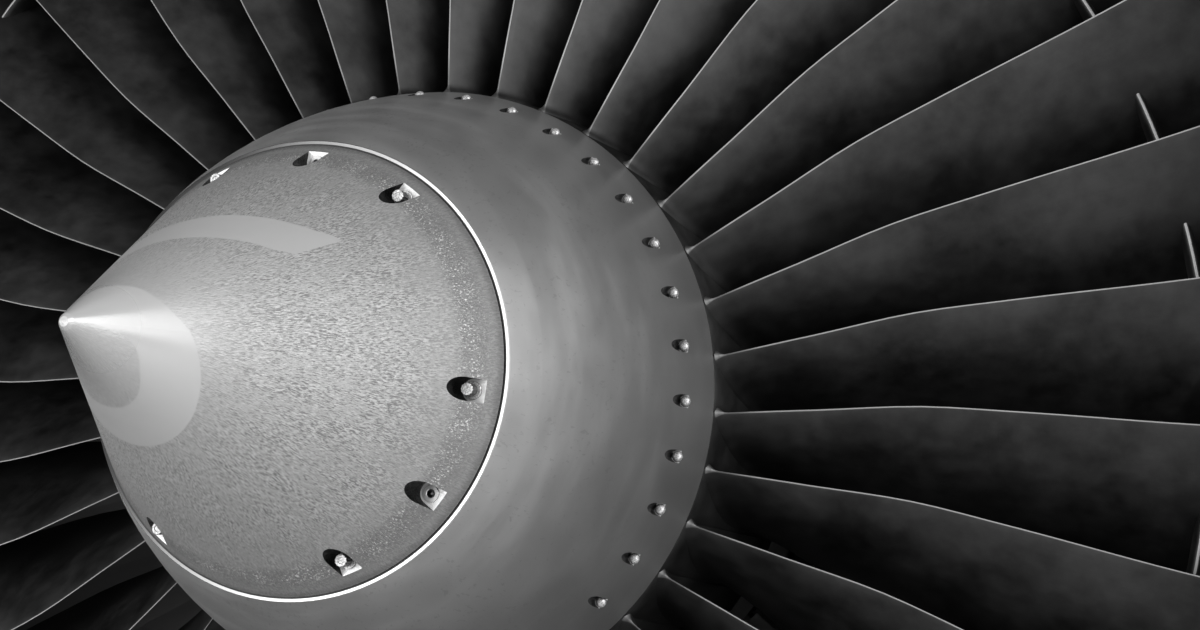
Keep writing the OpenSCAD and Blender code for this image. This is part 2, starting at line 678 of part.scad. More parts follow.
module booster_case() {
    wall = 6;
    y0 = splitter_y + 20 + seat;
    function step_y(i, lag) = i == 0 ? y0 : min(y0 + lag + booster_pitch * i, splitter_back);
    color(case_grey) turn(concat(
        [[splitter_r + 3, y0], [splitter_r + 3, y0 + wall]],
        [for (i = [0:booster_stages - 1], e = [0, 1])
            [booster_case_r - 10 * i + wall, max(step_y(i + e, 10), y0 + wall)]],
        [for (i = [booster_stages - 1:-1:0], e = [1, 0]) [booster_case_r - 10 * i, step_y(i + e, 4)]]));
}

module booster_vanes() {
    color(steel) for (i = [0:booster_stages - 1])
        core_row(30, booster_y(i) + 34, 24, -30, 3, booster_land(i) + 4, booster_case_r - 10 * i - 0.8, 6);
}

// Fan frame: outer ring, bypass struts, hollow middle ring, core struts and hub

frame_ring_r = guide_ring_r + 2;
hub_web_r = 190;
frame_gap_y0 = frame_y0 + 5;
core_housing_r = core_stub_r + 22;

module frame_outer_ring() {
    turn([[liner_in, frame_y0], [flange_r, frame_y0], [flange_r, frame_y0 + flange_t],
        [case_out + 6, frame_y0 + flange_t], [case_out, frame_y0 + flange_t + 12],
        [case_out, frame_y1 - 16], [flange_r - 10, frame_y1 - 12], [flange_r - 10, frame_y1],
        [liner_in, frame_y1]]);
}

// The hollow ring between the bypass and the core, open at its front for the splitter
module frame_middle_ring() {
    skin = 8;
    front = frame_gap_y0;
    inner = frame_ring_r - skin;
    duct_r = booster_case_r - 10 * (booster_stages - 1);
    turn([[frame_ring_r - 24, front], [frame_ring_r, front], [frame_ring_r, frame_y1],
        [frame_ring_r - 90, frame_y1], [spigot_r + seat, frame_y1 - 2], [spigot_r + seat, hpc_y0 - seat],
        [hpc_case_r, hpc_y0 - seat], [hpc_case_r, hpc_y0 - 40], [duct_r, front + 20], [duct_r, front],
        [duct_r + skin, front], [duct_r + skin, front + 22], [hpc_case_r + 12, hpc_y0 - 36],
        [hpc_case_r + 12, hpc_y0 - 12], [frame_ring_r - 92, frame_y1 - skin], [inner, frame_y1 - skin],
        [inner, front + skin], [frame_ring_r - 24, front + skin]]);
}

// The inner wall of the core's passage, with the housing of the high pressure thrust bearing
module frame_hub() {
    front = frame_gap_y0 + 40;
    lip = booster_land(booster_stages - 1) - 14;
    core_in = hpc_land(0) - 2;
    turn([[hub_web_r, front], [lip, front - 20], [lip + 8, front - 16], [core_in + 4, hpc_y0 - 42],
        [core_in, hpc_y0 - 2], [core_in - 12, hpc_y0 - 2], [core_in - 12, hpc_y0 - 60],
        [core_housing_r + 22, core_bearing_y + 20],
        [core_housing_r, core_bearing_y + 16], [core_housing_r, core_bearing_y - 16],
        [core_housing_r + 22, core_bearing_y - 20], [hub_web_r - 16, core_bearing_y - 40],
        [hub_web_r - 16, front]]);
}

module fan_frame() {
    strut_y = frame_y0 + frame_len / 2 + 8;
    color(case_grey) difference() {
        union() {
            frame_outer_ring();
            frame_middle_ring();
            frame_hub();
            blade_row(frame_struts, strut_y, 150, -4, 16, frame_ring_r - 5, liner_in + 4);
            blade_row(frame_struts, hpc_y0 - 95, 90, 0, 10, hpc_land(0) + 40, booster_case_r - 32);
        }
        around(flange_bolts, flange_first)
            axial_bar(flange_circle, frame_y0 - 1, frame_y0 + flange_t + 12, flange_hole_d);
    }
}

module front_bearing_support() {
    back = frame_y0 + 45 - seat;
    seat_r = bearing_r + 22;
    front = thrust_bearing_y - 18;
    color(case_grey) turn([[hub_web_r - 14, back], [hub_web_r - 2, back], [hub_web_r - 2, back - 10],
        [seat_r + 14, roller_bearing_y + 20], [seat_r + 10, roller_bearing_y - 20], [seat_r + 10, front],
        [seat_r, front], [seat_r, roller_bearing_y + 14], [hub_web_r - 14, back - 8]]);
}

module fan_thrust_bearing() bearing(thrust_bearing_y, bearing_r + run_gap, bearing_r + 22 - seat, 14, 22);
module fan_roller_bearing() bearing(roller_bearing_y, bearing_r + run_gap, bearing_r + 22 - seat, 12, 26);
module core_thrust_bearing() bearing(core_bearing_y, core_stub_r + run_gap, core_housing_r - seat, 16, 22);
module rear_roller_bearing() bearing(rear_bearing_y, lp_shaft_r + run_gap, lp_shaft_r + 24 - seat, 12, 18);

// Core casings

hpc_case_out = hpc_case_r + 10;
core_flange_t = 8;
hpc_flange_r = 300;
// The front flange ends inside the frame's middle ring, and leaves it a land for the forward mount's foot
front_flange_r = frame_ring_r - 62;
module hpc_case() {
    y0 = frame_y1 + seat;
    back = hpc_y1 - core_flange_t;
    color(steel) {
        turn([[hpc_case_r, hpc_y0], [spigot_r, hpc_y0], [spigot_r, y0], [front_flange_r, y0],
            [front_flange_r, y0 + core_flange_t], [hpc_case_out, y0 + core_flange_t], [hpc_case_out, back],
            [hpc_flange_r, back], [hpc_flange_r, hpc_y1], [hpc_case_r, hpc_y1]]);
        for (i = [1:2:hpc_stages - 2])
            flange_ring(hpc_case_out - 1, hpc_case_out + 9, hpc_y(i) + hpc_pitch / 2, 3);
    }
}

module hpc_vanes() {
    color(steel) for (i = [0:hpc_stages - 2])
        core_row(20, hpc_y(i) + hpc_pitch / 2, 14, -30, 2.5, hpc_land(i + 1) + 2, hpc_case_r - 0.4, 7);
}

fuel_y = hpc_y1 + 100;
fuel_first = 5;
dome_y = fuel_y + 20;
igniter_y = hpc_y1 + 160;
igniter_first = 130;
turbine_flange_r = combustor_r + 28;

// A round bar along a radius at station y, from radius r0 to r1
module radial_bar(y, r0, r1, d) {
    translate([r0, y, 0]) rotate([0, 90, 0]) cylinder(h = r1 - r0, d = d, $fn = 32);
}

module combustor_case() {
    inner = combustor_r - 7;
    y0 = hpc_y1 + seat;
    back = combustor_y1 - core_flange_t;
    color(steel) difference() {
        turn([[hpc_case_r, y0], [hpc_flange_r, y0], [hpc_flange_r, y0 + core_flange_t],
            [hpc_flange_r + 12, y0 + 14], [combustor_r, y0 + 70], [combustor_r, back],
            [turbine_flange_r, back], [turbine_flange_r, combustor_y1], [inner, combustor_y1],
            [inner, y0 + 74], [hpc_flange_r + 6, y0 + 22], [hpc_case_r, y0 + 12]]);
        around(fuel_nozzle_count, fuel_first) radial_bar(fuel_y, inner - 13, combustor_r + 20, 25);
        around(2, igniter_first) radial_bar(igniter_y, inner - 13, combustor_r + 20, 21);
    }
}

liner_mid_r = combustor_r - 110;
liner_half = 52;
nozzle_tip_r = liner_mid_r + 26;
nozzle_tip_d = 22;
module combustor_liner() {
    skin = 3;
    y0 = dome_y;
    y1 = combustor_y1 + 2 - seat;
    outer = liner_mid_r + liner_half;
    inner = liner_mid_r - liner_half;
    exit_r0 = hpt_hub - 2;
    exit_r1 = hpt_tip + 4;
    color(hot_metal) difference() {
        turn([[inner, y0], [outer, y0], [outer + 18, y0 + 30], [exit_r1, y1], [exit_r1 - skin, y1],
            [outer + 18 - skin, y0 + 34], [outer - 4, y0 + skin], [inner + 4, y0 + skin],
            [inner + 4, y0 + 60], [exit_r0 + skin, y1], [exit_r0, y1], [inner, y0 + 62]]);
        around(fuel_nozzle_count, fuel_first)
            axial_bar(nozzle_tip_r, y0 - 1, y0 + 10, nozzle_tip_d + 2 * seat);
    }
}

nozzle_cap_r = combustor_r + 26;
module fuel_nozzles() {
    color(bare_metal) around(fuel_nozzle_count, fuel_first) {
        radial_bar(fuel_y, combustor_r + seat, nozzle_cap_r, 40);
        radial_bar(fuel_y, nozzle_tip_r, combustor_r + 2, 14);
        axial_bar(nozzle_tip_r, fuel_y - 8, dome_y + 4, nozzle_tip_d);
    }
}

manifold_r = combustor_r + 44;
module fuel_manifold() {
    color(bare_metal) {
        rotate([-90, 0, 0]) translate([0, 0, fuel_y]) rotate_extrude()
            translate([manifold_r, 0]) circle(d = 12, $fn = 32);
        around(fuel_nozzle_count, fuel_first) radial_bar(fuel_y, nozzle_cap_r + seat, manifold_r, 10);
    }
}

module igniters() {
    reach = 20;
    cap_h = 30;
    stem_h = 64;
    color(bare_metal) around(2, igniter_first) {
        radial_bar(igniter_y, combustor_r - reach, combustor_r + 2, 18);
        radial_bar(igniter_y, combustor_r + seat, combustor_r + cap_h, 34);
        radial_bar(igniter_y, combustor_r + cap_h - 2, combustor_r + stem_h, 22);
    }
}

turbine_y0 = combustor_y1 + seat;
module hpt_nozzle() {
    y0 = combustor_y1 + 2;
    y1 = hpt_y - 26;
    mid = (y0 + y1) / 2;
    color(hot_metal) {
        flange_ring(hpt_hub - 6, hpt_hub + 2, mid, (y1 - y0) / 2);
        flange_ring(hpt_tip, hpt_tip + 6 - seat, mid, (y1 - y0) / 2);
        blade_row(24, mid, 26, -40, 7, hpt_hub + 1, hpt_tip + 1);
    }
}

function turbine_wall(i) = lpt_tip(i) - 1;
lpt_wall_edge = lpt_land + 4;
module turbine_case() {
    wall = 8;
    last = lpt_stages - 1;
    back = lpt_y1 - 10;
    rear_flange_r = turbine_wall(last) + 40;
    color(hot_metal) turn(concat(
        [[hpt_tip + 6, turbine_y0], [turbine_flange_r, turbine_y0],
            [turbine_flange_r, turbine_y0 + core_flange_t], [hpt_tip + 30, turbine_y0 + 12],
            [hpt_tip + 30, hpt_y + 24]],
        [for (i = [0:last], e = [-1, 1]) [turbine_wall(i) + wall, lpt_y(i) + e * lpt_wall_edge]],
        [[rear_flange_r, back - core_flange_t], [rear_flange_r, back], [turbine_wall(last), back]],
        [for (i = [last:-1:0], e = [1, -1]) [turbine_wall(i), lpt_y(i) + e * lpt_wall_edge]],
        [[hpt_tip, hpt_y + 26], [hpt_tip, hpt_y - 24], [hpt_tip + 6, hpt_y - 24]]));
}

// Each nozzle ring's front corners come close under the sloping wall
function nozzle_ring_y(i) = lpt_y(i) - lpt_pitch / 2 + (i == 0 ? 4 : 0);
function nozzle_ring_r(i) =
    i == 0 ? mix(hpt_tip, turbine_wall(0), 0.6) : mix(turbine_wall(i - 1), turbine_wall(i), 0.2);
module lpt_nozzles() {
    color(hot_metal) for (i = [0:lpt_stages - 1])
        core_row(24, nozzle_ring_y(i), 26, -35, 6, lpt_hub(i) + 2, nozzle_ring_r(i) - 0.5, 5);
}

rear_out = turbine_wall(lpt_stages - 1);
rear_y0 = lpt_y1 - 10 + seat;
lug_leans = [-16, 0, 16];
lug_y = rear_y0 + 60;
lug_w = 52;
lug_t = 28;
lug_h = 66;
module rear_lug(lean) {
    rotate([0, lean, 0]) difference() {
        translate([-lug_w / 2, lug_y - lug_t / 2, rear_out + 6]) cube([lug_w, lug_t, lug_h]);
        translate([0, lug_y - 20, rear_out + 50]) rotate([-90, 0, 0])
            cylinder(h = 40, r = aft_bore_r, $fn = 64);
    }
}

module turbine_rear_frame() {
    hub_out = lp_shaft_r + 24;
    strut_y = rear_y0 + 85;
    strut_chord = 90;
    front = rear_y0 + core_flange_t;
    back = rear_frame_y1 - core_flange_t;
    color(hot_metal) {
        turn([[rear_out, rear_y0], [rear_out + 40, rear_y0], [rear_out + 40, front],
            [rear_out + 10, front], [rear_out + 10, back], [rear_out + 30, back],
            [rear_out + 30, rear_frame_y1], [rear_out, rear_frame_y1]]);
        turn([[plug_r, rear_y0 + 20], [plug_r + 8, rear_y0 + 20], [plug_r + 8, rear_frame_y1],
            [plug_r - 30, rear_frame_y1], [plug_r - 30, back], [plug_r, back - 6],
            [plug_r, rear_y0 + 60], [hub_out + 12, rear_bearing_y + 20], [hub_out, rear_bearing_y + 20],
            [hub_out, rear_bearing_y - 14], [hub_out + 10, rear_bearing_y - 14]]);
        blade_row(12, strut_y, strut_chord, 0, 11, plug_r + 4, rear_out + 4, 15);
        for (lean = lug_leans) rear_lug(lean);
    }
}

module exhaust_nozzle() {
    skin = 4;
    y0 = rear_frame_y1 + seat;
    end_y = y0 + exhaust_len;
    waist_y = y0 + 0.4 * exhaust_len;
    waist_r = rear_out - 12;
    end_r = rear_out - 60;
    color(hot_metal) turn([[rear_out, y0], [rear_out + 30, y0], [rear_out + 30, y0 + 6],
        [rear_out + skin, y0 + 12], [waist_r + skin, waist_y], [end_r + skin, end_y], [end_r, end_y],
        [waist_r, waist_y]]);
}

module exhaust_plug() {
    skin = 4;
    y0 = rear_frame_y1 + seat;
    steps = 14;
    function plug_at(t) = (plug_r + 8) * (t < 0.12 ? 1 : pow(cos(90 * (t - 0.12) / 0.88 * 0.93), 0.8));
    color(hot_metal) turn(concat(
        [[plug_r - 30, y0]], [for (i = [0:steps]) [plug_at(i / steps), y0 + plug_len * i / steps]],
        [[0, y0 + plug_len], [0, y0 + plug_len - 6]],
        [for (i = [steps - 1:-1:1]) [plug_at(i / steps) - skin, y0 + plug_len * i / steps - 2]],
        [[plug_r - 30, y0 + 8]]));
}

// Mounts and what hangs under the fan case

// A foot on the fan frame's rear face, with an eye across it for the thrust pin
module forward_mount() {
    y0 = frame_y1 + seat;
    depth = 30;
    pin_gap = 6;
    foot_r = front_flange_r + 12;
    eye_w = 60;
    eye_r = forward_bore_r + 17;
    eye_y = y0 + depth + forward_bore_r + pin_gap;
    eye_z = frame_ring_r + 45;
    side = [[140, foot_r], [140, foot_r + 22], [118, foot_r + 31], [104, eye_z - 15], [34, eye_z + 10]];
    color(steel) difference() {
        union() {
            translate([0, y0 + depth, 0]) rotate([90, 0, 0]) linear_extrude(depth)
                polygon(concat(side, [for (i = [len(side) - 1:-1:0]) [-side[i][0], side[i][1]]]));
            translate([-eye_w / 2, 0, 0]) rotate([90, 0, 90]) linear_extrude(eye_w)
                polygon([[y0, foot_r + 20], [y0 + depth + 10, foot_r + 20], [eye_y + eye_r - 2, eye_z],
                    [eye_y, eye_z + eye_r - 2], [y0, eye_z + eye_r - 12]]);
            translate([-eye_w / 2, eye_y, eye_z]) rotate([0, 90, 0]) cylinder(h = eye_w, r = eye_r, $fn = 72);
        }
        translate([-eye_w / 2 - 1, eye_y, eye_z]) rotate([0, 90, 0])
            cylinder(h = eye_w + 2, r = forward_bore_r, $fn = 64);
        for (x = [-88, 88]) translate([x, y0 - 1, eye_z - 40]) rotate([-90, 0, 0])
            cylinder(h = depth + 2, r = 14, $fn = 48);
    }
}

gear_y0 = stack_y - 170;
gear_len = 85;
gear_in = case_out + 30;
gear_depth = 120;
gear_half = 33;
gear_mid_r = gear_in + gear_depth / 2;
down = -90;

// A block that follows the fan case between two angles
module curved_block(y0, y1, r0, r1, from, span) {
    rotate([0, -from - span, 0]) rotate([-90, 0, 0]) translate([0, 0, y0])
        rotate_extrude(angle = span) translate([r0, 0]) square([r1 - r0, y1 - y0]);
}

// A foot between the fan case's skin at radius skin_r and a unit at radius r1
module foot(angle, y0, width, skin_r, r1) {
    rotate([0, -angle, 0]) translate([skin_r + seat, y0, -width / 2]) cube([r1 - skin_r, 25, width]);
}

module accessory_gearbox() {
    color(case_grey) {
        curved_block(gear_y0, gear_y0 + gear_len, gear_in, gear_in + gear_depth,
            down - gear_half, 2 * gear_half);
        for (lean = [-26, -8, 8, 26]) foot(down + lean, gear_y0, 40, case_out, gear_in + 4);
    }
}

// A round accessory on the gearbox's aft face: each body has its start, length and diameter
module accessory(angle, bodies) {
    start = gear_y0 + gear_len + seat;
    rotate([0, -angle, 0]) for (b = bodies)
        translate([gear_mid_r, start + b[0], 0]) rotate([-90, 0, 0]) cylinder(h = b[1], d = b[2]);
}

module starter() color(steel) accessory(down - 22, [[0, 14, 110], [13.9, 110, 96], [123.8, 60, 78]]);
module fuel_pump() color(steel) accessory(down + 22, [[0, 12, 104], [11.9, 90, 92], [101.8, 40, 60]]);
module generator() color(steel) accessory(down + 9.5, [[0, 12, 112], [11.9, 150, 104], [161.8, 12, 70]]);
module hydraulic_pump() color(steel) accessory(down - 12, [[0, 12, 88], [11.9, 80, 74], [91.8, 30, 50]]);

transfer_y0 = frame_y0 + 60;
transfer_tube_d = 46;
transfer_box = [110, 85, 120];
module transfer_gearbox() {
    inner = case_out + 8;
    start = gear_y0 + gear_len + seat;
    color(case_grey) {
        rotate([0, -down, 0]) translate([inner, transfer_y0, -transfer_box[2] / 2]) cube(transfer_box);
        rotate([0, -down, 0]) translate([gear_mid_r, start, 0]) rotate([-90, 0, 0])
            cylinder(h = transfer_y0 - start + 10, d = transfer_tube_d);
        rotate([0, -down, 0]) translate([gear_mid_r, start, 0]) rotate([-90, 0, 0])
            cylinder(h = 12, d = transfer_tube_d + 30);
    }
}

unit_r = case_out + 34;
tank_from = 188;
tank_span = 22;
module oil_tank() {
    depth = 105;
    feet = [tank_from + 4, tank_from + tank_span - 4];
    color(case_grey) {
        curved_block(shroud_y0 + 15, shroud_y1 - 15, unit_r, unit_r + depth, tank_from, tank_span);
        for (a = feet, y = [shroud_y0 + 30, shroud_y1 - 55]) foot(a, y, 30, case_out + 10, unit_r + 4);
        rotate([0, -tank_from - 3.5, 0]) translate([unit_r + depth - 5, shroud_y0 + 50, 0])
            rotate([0, 90, 0]) cylinder(h = 25, d = 56);
    }
}

unit_from = 148;
unit_span = 20;
module control_unit() {
    feet = [unit_from + 3, unit_from + unit_span - 3];
    color(liner_grey) {
        curved_block(shroud_y0 + 25, shroud_y1 - 15, unit_r, unit_r + 80, unit_from, unit_span);
        for (a = feet, y = [shroud_y0 + 35, shroud_y1 - 55]) foot(a, y, 30, case_out + 10, unit_r + 4);
        for (a = [4, 8, 12, 16]) rotate([0, -unit_from - a, 0])
            axial_bar(unit_r + 40, shroud_y0 + 6, shroud_y0 + 28, 30);
    }
}

spinner_front_cone();
spinner_rear_cone();
cone_bolts();
jackscrew_inserts();
balance_screws();
rear_cone_bolts();
fan_disk();
fan_blades();
blade_spacers();
booster_drum();
booster_blades();
fan_shaft();
lp_shaft();
intershaft_bearing();
lpt_rotor();
lpt_blades();
hpc_front_shaft();
hpc_drum();
hpc_blades();
hpt_disk();
hpt_blades();
fan_case();
front_liner();
abradable_shroud();
rear_liner();
case_bolts();
guide_vanes();
guide_vane_ring();
splitter();
booster_case();
booster_vanes();
fan_frame();
front_bearing_support();
fan_thrust_bearing();
fan_roller_bearing();
core_thrust_bearing();
rear_roller_bearing();
hpc_case();
hpc_vanes();
combustor_case();
combustor_liner();
fuel_nozzles();
fuel_manifold();
igniters();
hpt_nozzle();
turbine_case();
lpt_nozzles();
turbine_rear_frame();
exhaust_nozzle();
exhaust_plug();
forward_mount();
accessory_gearbox();
transfer_gearbox();
starter();
fuel_pump();
generator();
hydraulic_pump();
oil_tank();
control_unit();
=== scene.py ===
# %% [markdown]
# # Dressing a jet engine
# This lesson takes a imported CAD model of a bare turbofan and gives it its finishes, finer fan blades and
# bolts, and a camera that stands close in front of the spinner. The CAD frame comes first, because every
# piece that is made here rides on one of its bodies. Blender works in metres, and lengths that are written
# in millimetres are multiplied by MM.

# %% Load the engine
import json
import math

import bmesh
import bpy
import numpy as np
from mathutils import Matrix, Vector


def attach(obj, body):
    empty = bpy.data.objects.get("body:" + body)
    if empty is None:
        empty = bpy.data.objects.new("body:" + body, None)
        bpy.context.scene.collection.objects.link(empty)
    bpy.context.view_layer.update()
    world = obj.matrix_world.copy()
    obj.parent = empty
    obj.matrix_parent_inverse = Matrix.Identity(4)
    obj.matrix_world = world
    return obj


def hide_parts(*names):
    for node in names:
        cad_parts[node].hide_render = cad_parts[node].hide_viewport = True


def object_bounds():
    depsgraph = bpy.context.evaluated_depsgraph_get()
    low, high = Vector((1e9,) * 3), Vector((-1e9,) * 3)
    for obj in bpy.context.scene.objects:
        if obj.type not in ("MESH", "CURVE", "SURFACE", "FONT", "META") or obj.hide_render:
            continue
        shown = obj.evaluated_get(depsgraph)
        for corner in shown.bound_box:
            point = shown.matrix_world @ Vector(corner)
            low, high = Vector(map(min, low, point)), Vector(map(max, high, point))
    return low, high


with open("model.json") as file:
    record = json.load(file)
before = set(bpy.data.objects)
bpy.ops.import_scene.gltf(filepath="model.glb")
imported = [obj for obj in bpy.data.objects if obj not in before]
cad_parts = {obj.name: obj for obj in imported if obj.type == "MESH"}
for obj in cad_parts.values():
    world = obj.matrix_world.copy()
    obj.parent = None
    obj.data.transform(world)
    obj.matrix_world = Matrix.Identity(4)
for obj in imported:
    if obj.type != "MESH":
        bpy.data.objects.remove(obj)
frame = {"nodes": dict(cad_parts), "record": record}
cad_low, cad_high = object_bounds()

MM = 0.001

# %% [markdown]
# ## The camera
# The photograph was taken from the engine's left side of the shaft and a little below it, close enough that
# the fan fills the picture. Three unit vectors say it all: where right, up and ahead are for the camera.
# A matrix with those columns is exact, where a tracking constraint would lose the small roll.

# %% Camera
CAMERA_AT = Vector((545.04, -959.42, -114.55)) * MM
CAMERA_RIGHT = Vector((0.95322, 0.30228, 0.0))
CAMERA_UP = Vector((0.04120, -0.12991, 0.99067))
CAMERA_AHEAD = Vector((-0.29946, 0.94432, 0.13629))
LENS_MM = 46.5

camera = bpy.data.objects.new("camera", bpy.data.cameras.new("camera"))
bpy.context.scene.collection.objects.link(camera)
turn = Matrix((CAMERA_RIGHT, CAMERA_UP, -CAMERA_AHEAD)).transposed().to_4x4()
camera.matrix_world = Matrix.Translation(CAMERA_AT) @ turn
camera.data.sensor_width = 36.0
camera.data.lens = LENS_MM
camera.data.clip_start = 0.02
camera.data.clip_end = 60.0
bpy.context.scene.camera = camera
bpy.context.scene.view_settings.view_transform = "Standard"
print("camera at", tuple(round(v, 3) for v in CAMERA_AT))

# %% [markdown]
# ## A small helper for node trees
# Materials are easier to read as formulas than as lists of links. This helper adds a node, links each input
# that is a socket, sets each input that is a plain value, and hands back an output to use in the next line.


# %% Node helper
STEP_RIGHT, STEP_DOWN, IN_ROW = 220, 260, 12


class Graph:
    """Adds nodes to one tree, from left to right."""

    def __init__(self, tree):
        self.tree = tree
        self.count = 0

    def lay(self, kind):
        """A new node, a step to the right of the last one, in rows of twelve."""
        made = self.tree.nodes.new(kind)
        made.location = (STEP_RIGHT * (self.count % IN_ROW), -STEP_DOWN * (self.count // IN_ROW))
        self.count += 1
        return made

    def feed(self, socket, value):
        """Links another node's output to an input, or sets the input to a plain value."""
        if isinstance(value, bpy.types.NodeSocket):
            self.tree.links.new(value, socket)
        else:
            socket.default_value = value

    def add(self, kind, inputs=None, out=0, **settings):
        """A node with its settings and inputs. Returns the output with that number."""
        made = self.lay(kind)
        for name, value in settings.items():
            setattr(made, name, value)
        for name, value in (inputs or {}).items():
            self.feed(made.inputs[name], value)
        return made.outputs[out]

    def math(self, operation, a, b=0.0, c=0.0, clamp=False):
        return self.add("ShaderNodeMath", {0: a, 1: b, 2: c}, operation=operation, use_clamp=clamp)

    def smooth(self, value, low, high, to_low=0.0, to_high=1.0):
        """A soft step: to_low where value is under low, to_high where it is over high."""
        inputs = {"Value": value, "From Min": low, "From Max": high, "To Min": to_low, "To Max": to_high}
        return self.add("ShaderNodeMapRange", inputs, interpolation_type="SMOOTHSTEP")

    def span(self, value, low, high, to_low=0.0, to_high=1.0):
        """A straight ramp that stops at both ends."""
        inputs = {"Value": value, "From Min": low, "From Max": high, "To Min": to_low, "To Max": to_high}
        return self.add("ShaderNodeMapRange", inputs)

    def mix(self, share, a, b):
        """Colour a where share is 0 and b where it is 1."""
        inputs = {0: share, 6: a, 7: b}
        return self.add("ShaderNodeMix", inputs, out=2, data_type="RGBA")

    def noise(self, vector, scale, detail=3.0, roughness=0.55, distortion=0.0):
        inputs = {"Vector": vector, "Scale": scale, "Detail": detail, "Roughness": roughness,
                  "Distortion": distortion}
        return self.add("ShaderNodeTexNoise", inputs)

    def place(self, scale=(1.0, 1.0, 1.0)):
        """Object coordinates in metres, stretched along the axes."""
        where = self.add("ShaderNodeTexCoord", out=3)
        return self.add("ShaderNodeMapping", {"Vector": where, "Scale": scale})

    def group(self, name, out, **inputs):
        """Places a node group. The names of its sockets are written with _ for each space."""
        made = self.lay("ShaderNodeGroup")
        made.node_tree = bpy.data.node_groups[name]
        for key, value in inputs.items():
            self.feed(made.inputs[key.replace("_", " ")], value)
        return made.outputs[out] if isinstance(out, str) else [made.outputs[name] for name in out]


def grey(level, warm=0.0):
    """A grey of that brightness. warm leans it to brown, and a value under 0 to blue."""
    return (level * (1 + warm), level, level * (1 - warm), 1.0)


def start_group(name, inputs, outputs):
    """A new node group with numbers in and out. Returns a helper, its given inputs and its results."""
    tree = bpy.data.node_groups.new(name, "ShaderNodeTree")
    for label, value in inputs.items():
        socket = tree.interface.new_socket(name=label, in_out="INPUT", socket_type="NodeSocketFloat")
        socket.default_value = value
    for label in outputs:
        tree.interface.new_socket(name=label, in_out="OUTPUT", socket_type="NodeSocketFloat")
    given = tree.nodes.new("NodeGroupInput")
    given.location = (-2 * STEP_RIGHT, 0)
    result = tree.nodes.new("NodeGroupOutput")
    result.location = (13 * STEP_RIGHT, 0)
    return Graph(tree), given.outputs, result.inputs


def finish_group(graph, targets, results):
    """Links each result to the group's output of that name."""
    for label, socket in results.items():
        graph.tree.links.new(socket, targets[label])
    print("group", graph.tree.name, "has", len(graph.tree.nodes), "nodes")


# %% [markdown]
# ## Effects that several finishes share
# Each effect is a node group with plain inputs, built once. The first one tells a point where it is on the
# engine: how far from the shaft, how far along it, and at what angle round it. Most marks on a rotor follow
# those three directions, so the other groups and the materials start from it.

# %% Group: where a point is on the engine
g, _, result = start_group("Place on the shaft", {}, ["Radius", "Station", "Angle"])
where = g.add("ShaderNodeTexCoord", out=3)
split = g.add("ShaderNodeSeparateXYZ", {"Vector": where}, out=0).node
x, y, z = (split.outputs[i] for i in range(3))
radius = g.math("SQRT", g.math("ADD", g.math("MULTIPLY", x, x), g.math("MULTIPLY", z, z)))
angle = g.math("DIVIDE", g.math("ARCTAN2", z, x), math.tau)
finish_group(g, result, {"Radius": radius, "Station": y, "Angle": g.math("FRACT", g.math("ADD", angle, 1.0))})

# %% [markdown]
# Handled metal is never even. A photograph of stains could show that, but it would need a UV map on every
# piece and would repeat. Noise that is read at a point in space needs neither. Mottle is a wide, soft cloud
# with a finer one inside it, for colour and gloss.

# %% Group: mottle
g, given, result = start_group("Mottle", {"Scale": 6.0, "Contrast": 1.0}, ["Value"])
wide = g.noise(g.place(), given["Scale"], 2.0)
fine = g.noise(g.place(), g.math("MULTIPLY", given["Scale"], 5.5), 4.0)
both = g.math("ADD", g.math("MULTIPLY", wide, 0.65), g.math("MULTIPLY", fine, 0.35))
value = g.math("MULTIPLY_ADD", g.math("SUBTRACT", both, 0.5), given["Contrast"], 0.5, clamp=True)
finish_group(g, result, {"Value": value})

# %% [markdown]
# Sand and rain wear a coating away in short worm-like strokes that point along the flow. An image laid on a
# cone would be squeezed at the nose, and plain noise has no direction. So the noise is read at the direction
# from the shaft and at the station, and its cells line up with the cone's own straight lines. Two numbers set
# how fine they are around and along, and a little distortion bends them.

# %% Group: erosion flecks
cells = {"Around": 60.0, "Along": 130.0, "Cover": 0.5}
g, given, result = start_group("Erosion flecks", cells, ["Dark", "Light", "Height"])
where = g.add("ShaderNodeTexCoord", out=3)
outward = g.add("ShaderNodeVectorMath", {0: where, 1: (1.0, 0.0, 1.0)}, operation="MULTIPLY")
outward = g.add("ShaderNodeVectorMath", {0: outward}, operation="NORMALIZE")
outward = g.add("ShaderNodeVectorMath", {0: outward, "Scale": given["Around"]}, operation="SCALE")
forward = g.add("ShaderNodeVectorMath", {0: where, 1: (0.0, 1.0, 0.0)}, operation="MULTIPLY")
forward = g.add("ShaderNodeVectorMath", {0: forward, "Scale": given["Along"]}, operation="SCALE")
spot = g.add("ShaderNodeVectorMath", {0: outward, 1: forward}, operation="ADD")
strokes = g.noise(spot, 1.0, 3.0, 0.6, 0.5)
patches = g.smooth(g.noise(spot, 0.07, 3.0), 0.2, 0.8)
reach = g.math("MULTIPLY", g.math("ADD", patches, given["Cover"]), 0.11)
dark = g.smooth(strokes, g.math("ADD", 0.33, reach), g.math("ADD", 0.27, reach))
light = g.smooth(strokes, g.math("SUBTRACT", 0.67, reach), g.math("SUBTRACT", 0.74, reach))
height = g.math("SUBTRACT", strokes, 0.5)
finish_group(g, result, {"Dark": dark, "Light": light, "Height": height})
